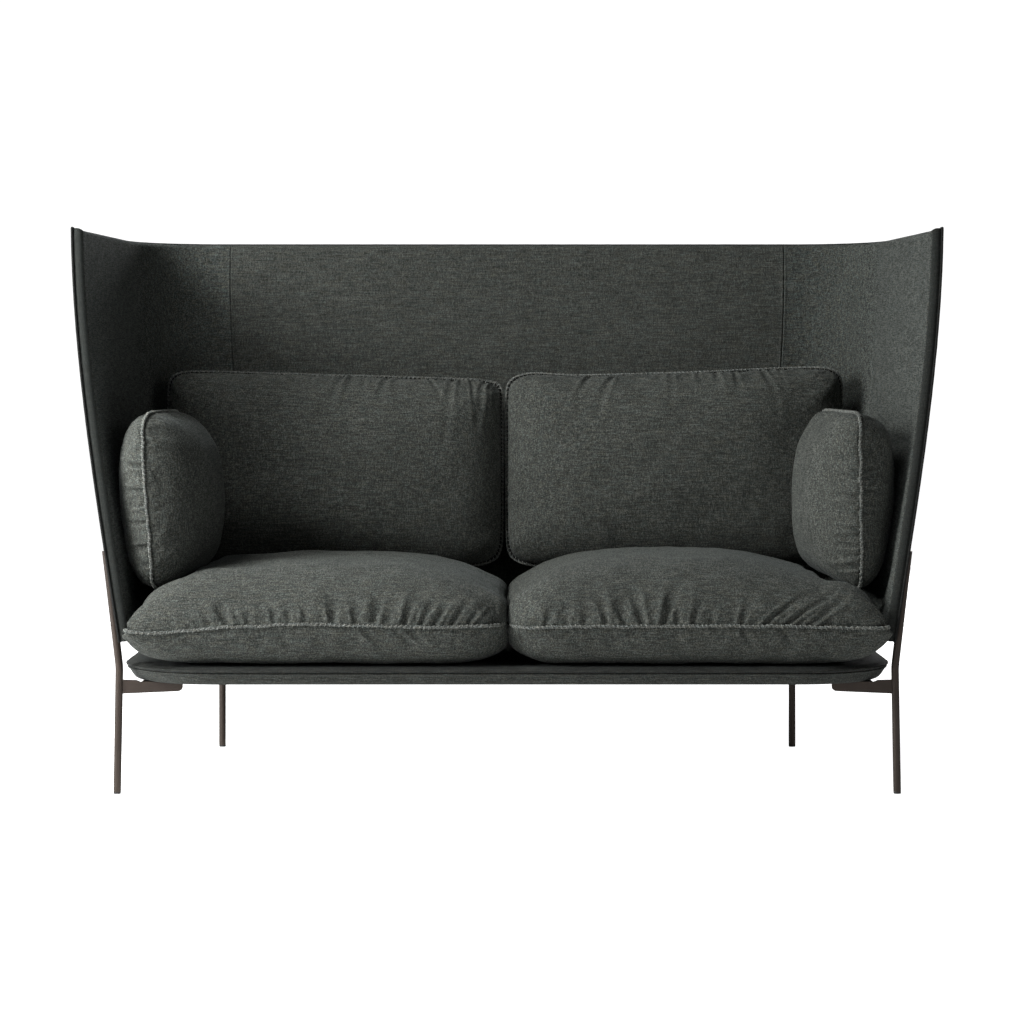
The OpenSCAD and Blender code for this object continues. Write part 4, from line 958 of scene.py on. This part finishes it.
    # whip stitches: slanted threads from one cover over the edge to the other
    st_pts, st_faces = [], []
    half_path = [(9.5, 1.3), (6.8, 1.7), (4.8, 2.4), (3.4, 3.0), (2.1, 3.1), (1.0, 2.4), (0.5, 1.2)]
    whole = half_path + [(0.4, 0.0)] + [(i, -z) for i, z in half_path[::-1]]
    for i in range(stitches):
        k = int(round(i / stitches * count)) % count
        o, tt, pc = out[k], t[k], line[k]
        curve = []
        for m, (inset, z) in enumerate(whole):
            xy = pc + o * (2.4 - inset) + tt * 3.0 * (m / 7.0 - 1)
            curve.append((xy[0], xy[1], up[k] + z))
        pts, fc = tube(curve, 0.75, sides=5, closed=False)
        base = sum(len(v) for v in st_pts)
        st_pts.append(pts)
        st_faces += [tuple(j + base for j in f) for f in fc]
    stitch = make_mesh(f"{body}_stitches", to_world(np.concatenate(st_pts)), st_faces)
    for o in (seam, flange, stitch):
        bm = bmesh.new()
        bm.from_mesh(o.data)
        bmesh.ops.recalc_face_normals(bm, faces=bm.faces)
        bm.to_mesh(o.data)
        bm.free()
    names = NAMES[kind]
    finish_piece(made[0], M_SEAT, body, [f"{body}_{names[0]}"])
    finish_piece(made[1], M_SEAT, body, [f"{body}_{names[1]}"])
    finish_piece(seam, M_SEAM_PAINTED_HIGHLIGHT, body)
    finish_piece(flange, M_NECK_PAINTED_SHADE, body)
    finish_piece(stitch, M_THREAD, body)


# how strongly the simulated gathers show, by place: x outwards, y rearwards or up
def seat_gain(x, y, w):
    front = (0.55 + 0.5 * ss((60 - x) / 120)) * (1 - 0.75 * ss((x - 240) / 70)) * (1 - 0.5 * ss((-150 - x) / 90))
    return np.where(y < -200, front, 0.45) * np.exp(-(w / 75) ** 2)


def low_gain(x, y, w):
    return 0.55 * np.exp(-(w / 60) ** 2)


def back_gain(x, y, w):
    return np.where(y > 100, 0.75, 0.35) * np.exp(-(w / 60) ** 2)


def arm_gain(x, y, w):
    return 0.75 * np.exp(-(w / 50) ** 2)


STEP = 6.5
for side, sd in (("left", 0), ("right", 50)):
    if side == "left":
        front = [("front", 265, 6, 24, 0.3, 2.4), ("front", 241, 5, 20, 0.3, 1.6), ("front", 207, 6, 28, 0.25, 2.6), ("front", 172, 9, 44, 0.4, 5.8), ("front", 130, 7, 34, 0.2, 3.0),
                 ("front", 82, 6, 36, 0.1, 3.0), ("front", 53, 5, 28, 0.1, 2.0), ("front", 23, 6, 32, 0.05, 2.6), ("front", -29, 8, 46, 0.0, 4.4), ("front", -73, 8, 46, -0.05, 4.6),
                 ("front", -108, 8, 48, -0.1, 4.8), ("front", -138, 5, 32, -0.15, 2.6), ("front", -165, 7, 52, -0.3, 5.4), ("front", -198, 6.5, 48, -0.4, 4.8), ("front", -223, 6.5, 46, -0.5, 4.6),
                 ("front", -255, 6.5, 42, -0.6, 4.4), ("front", -286, 6, 34, -0.7, 3.4)]
        low = [("front", -85, 8, 42, -0.9, 3.2), ("front", -145, 8, 40, -1.0, 3.2), ("front", -175, 7, 34, -0.8, 1.8), ("front", 250, 7, 34, 1.0, 2.2), ("front", -290, 7, 30, -1.0, 1.8)]
    else:
        front = [("front", -286, 8, 44, 0.25, 2.4), ("front", -250, 7, 36, 0.0, 1.8), ("front", -212, 9, 34, -0.1, 2.6), ("front", -172, 7, 54, -0.2, 4.0), ("front", -138, 8, 36, -0.1, 2.6),
                 ("front", -103, 8, 66, -0.25, 5.4), ("front", -64, 8, 62, 0.3, 5.0), ("front", -38, 5, 30, 0.1, 2.4), ("front", -8, 6, 40, 0.3, 3.4), ("front", 30, 5, 24, 0.1, 2.0),
                 ("front", 84, 7, 44, 0.4, 3.6), ("front", 128, 8, 74, 1.1, 4.2), ("front", 170, 8, 78, 1.15, 4.4), ("front", 215, 8, 66, 1.0, 3.8)]
        low = [("front", 84, 6, 38, 0.6, 2.6), ("front", 155, 8, 44, 0.9, 2.2), ("front", 205, 7, 40, 0.9, 1.8), ("front", -240, 7, 32, -0.8, 1.4)]
    build_cushion("seat", side, STEP, front + random_folds(140 + sd, "right", -200, 260, 60, 7, 34, 1.6) + random_folds(150 + sd, "left", -200, 260, 60, 7, 34, 1.6),
                  low, 200 + sd, seat_gain, low_gain)
    if side == "left":
        top = [("rear", 120, 5, 60, 0.1, 2.4), ("rear", 52, 5, 56, 0.1, 2.2), ("rear", -12, 8, 96, 0.25, 7.0), ("rear", -56, 5, 66, 0.0, 3.0), ("rear", -107, 7, 88, 0.15, 4.6),
               ("rear", -190, 5, 74, -0.4, 3.2), ("rear", -248, 7, 112, 0.12, 4.2), ("rear", -284, 5, 84, -0.2, 2.6), ("rear", -322, 6, 92, 0.2, 3.0), ("rear", -344, 4, 64, 0.0, 2.0)]
    else:
        top = [("rear", -175, 6, 70, -0.3, 3.6), ("rear", -121, 7, 92, -0.35, 5.0), ("rear", -2, 6, 64, 0.0, 3.0), ("rear", 55, 5, 60, 0.1, 2.4), ("rear", 93, 6, 70, 0.1, 3.2),
               ("rear", 133, 5, 66, 0.1, 3.4), ("rear", 189, 6, 78, 0.3, 3.2), ("rear", 231, 4.5, 56, 0.1, 2.4)]
    build_cushion("back", side, STEP, top + random_folds(104 + sd, "left", -150, 150, 70, 6, 22, 1.2) + random_folds(105 + sd, "right", -150, 150, 70, 6, 22, 1.2),
                  random_folds(106 + sd, "rear", -300, 320, 70, 6, 24, 1.8), 220 + sd, back_gain, back_gain)
    if side == "left":
        outer = [("left", 96, 4, 26, 0.0, 2.4), ("left", 68, 5, 42, 0.05, 6.4), ("left", 20, 5, 42, 0.0, 6.0), ("left", -9, 5, 32, 0.0, 3.4), ("left", -44, 5, 38, 0.0, 4.6), ("left", -88, 5, 38, -0.2, 5.4), ("left", -122, 4, 26, 0.0, 2.6)]
        inner = [("left", 110, 4, 20, 0.3, 1.2), ("left", 30, 4, 22, 0.0, 1.2), ("rear", -178, 6, 24, 0.6, 2.4)]
    else:
        outer = [("left", 45, 5, 44, 0.2, 3.0), ("left", 22, 5, 40, 0.0, 2.8), ("left", -20, 5, 34, 0.0, 2.2)]
        inner = [("left", 42, 6, 40, 0.1, 3.6), ("left", 7, 5, 52, 0.0, 5.6), ("left", -24, 5, 30, 0.0, 2.6), ("left", -56, 4.4, 48, 0.0, 6.2), ("left", -89, 4.6, 44, 0.0, 5.0), ("left", -108, 4.4, 40, -0.1, 4.8), ("left", -126, 4, 32, -0.1, 3.4)]
    build_cushion("arm", side, STEP, outer + random_folds(108 + sd, "rear", -120, 180, 60, 6, 22, 1.5), inner + random_folds(110 + sd, "rear", -100, 180, 60, 6, 22, 1.5), 240 + sd, arm_gain, arm_gain)

# ---------------------------------------------------------------- floor and light
floor_mesh = bpy.data.meshes.new("floor")
floor_mesh.from_pydata([(-30, -12, 0), (30, -12, 0), (30, 40, 0), (-30, 40, 0)], [], [(0, 1, 2, 3)])
floor = bpy.data.objects.new("floor", floor_mesh)
bpy.context.scene.collection.objects.link(floor)
fm, ft, fb = new_material("pale_floor")
fcoord = node(ft, "ShaderNodeTexCoord", (-900, 0)).outputs["Object"]
fnoise = thread_noise(ft, fcoord, (3, 3, 3), (-700, 0), detail=3.0)
ft.links.new(ramp(ft, fnoise, [(0.3, (0.90, 0.90, 0.90)), (0.7, (0.93, 0.93, 0.93))], (-300, 0)), fb.inputs["Base Color"])
fb.inputs["Roughness"].default_value = 0.9
fb.inputs["Specular IOR Level"].default_value = 0.1
fb.inputs["Emission Color"].default_value = (1, 1, 1, 1)
glow_path = ft.nodes.new("ShaderNodeLightPath")
glow = ft.nodes.new("ShaderNodeMapRange")
glow.inputs["To Min"].default_value = 0.1
glow.inputs["To Max"].default_value = FLOOR_GLOW
ft.links.new(glow_path.outputs["Is Camera Ray"], glow.inputs["Value"])
ft.links.new(glow.outputs["Result"], fb.inputs["Emission Strength"])
floor.data.materials.append(fm)
floor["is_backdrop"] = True

# the white studio surround: brighter to the eye than the light it gives
world = bpy.data.worlds.new("world")
world.use_nodes = True
wt = world.node_tree
wb = wt.nodes["Background"]
wb.inputs["Color"].default_value = (1.0, 1.0, 1.0, 1.0)
path_node = wt.nodes.new("ShaderNodeLightPath")
wm = wt.nodes.new("ShaderNodeMapRange")
wm.inputs["To Min"].default_value = AMBIENT
wm.inputs["To Max"].default_value = 1.1
wt.links.new(path_node.outputs["Is Camera Ray"], wm.inputs["Value"])
wt.links.new(wm.outputs["Result"], wb.inputs["Strength"])
bpy.context.scene.world = world
bpy.context.scene.view_settings.view_transform = "Standard"


def area_light(name, where, aim, size, power, colour=(1, 1, 1)):
    data = bpy.data.lights.new(name, "AREA")
    data.shape = "RECTANGLE"
    data.size, data.size_y = size
    data.energy = power
    data.color = colour
    obj = bpy.data.objects.new(name, data)
    obj.location = where
    obj.rotation_euler = (Vector(aim) - Vector(where)).to_track_quat("-Z", "Y").to_euler()
    obj.visible_camera = False
    bpy.context.scene.collection.objects.link(obj)
    return obj


area_light("key", (-2.0, -1.2, 1.7), (-0.6, -0.3, 0.5), (0.8, 0.8), 80)
area_light("left_low", (-2.8, -1.2, 1.0), (-0.6, -0.3, 0.5), (0.9, 0.9), 50)
area_light("above", (-2.2, -0.9, 4.4), (0.0, 0.0, 0.6), (1.6, 1.6), 100)
area_light("right", (4.0, -3.2, 2.4), (0.0, 0.0, 0.6), (1.6, 1.6), 26)
area_light("rear", (1.4, 5.2, 1.6), (0.0, 0.3, 0.6), (2.6, 1.8), 90)

low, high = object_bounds()
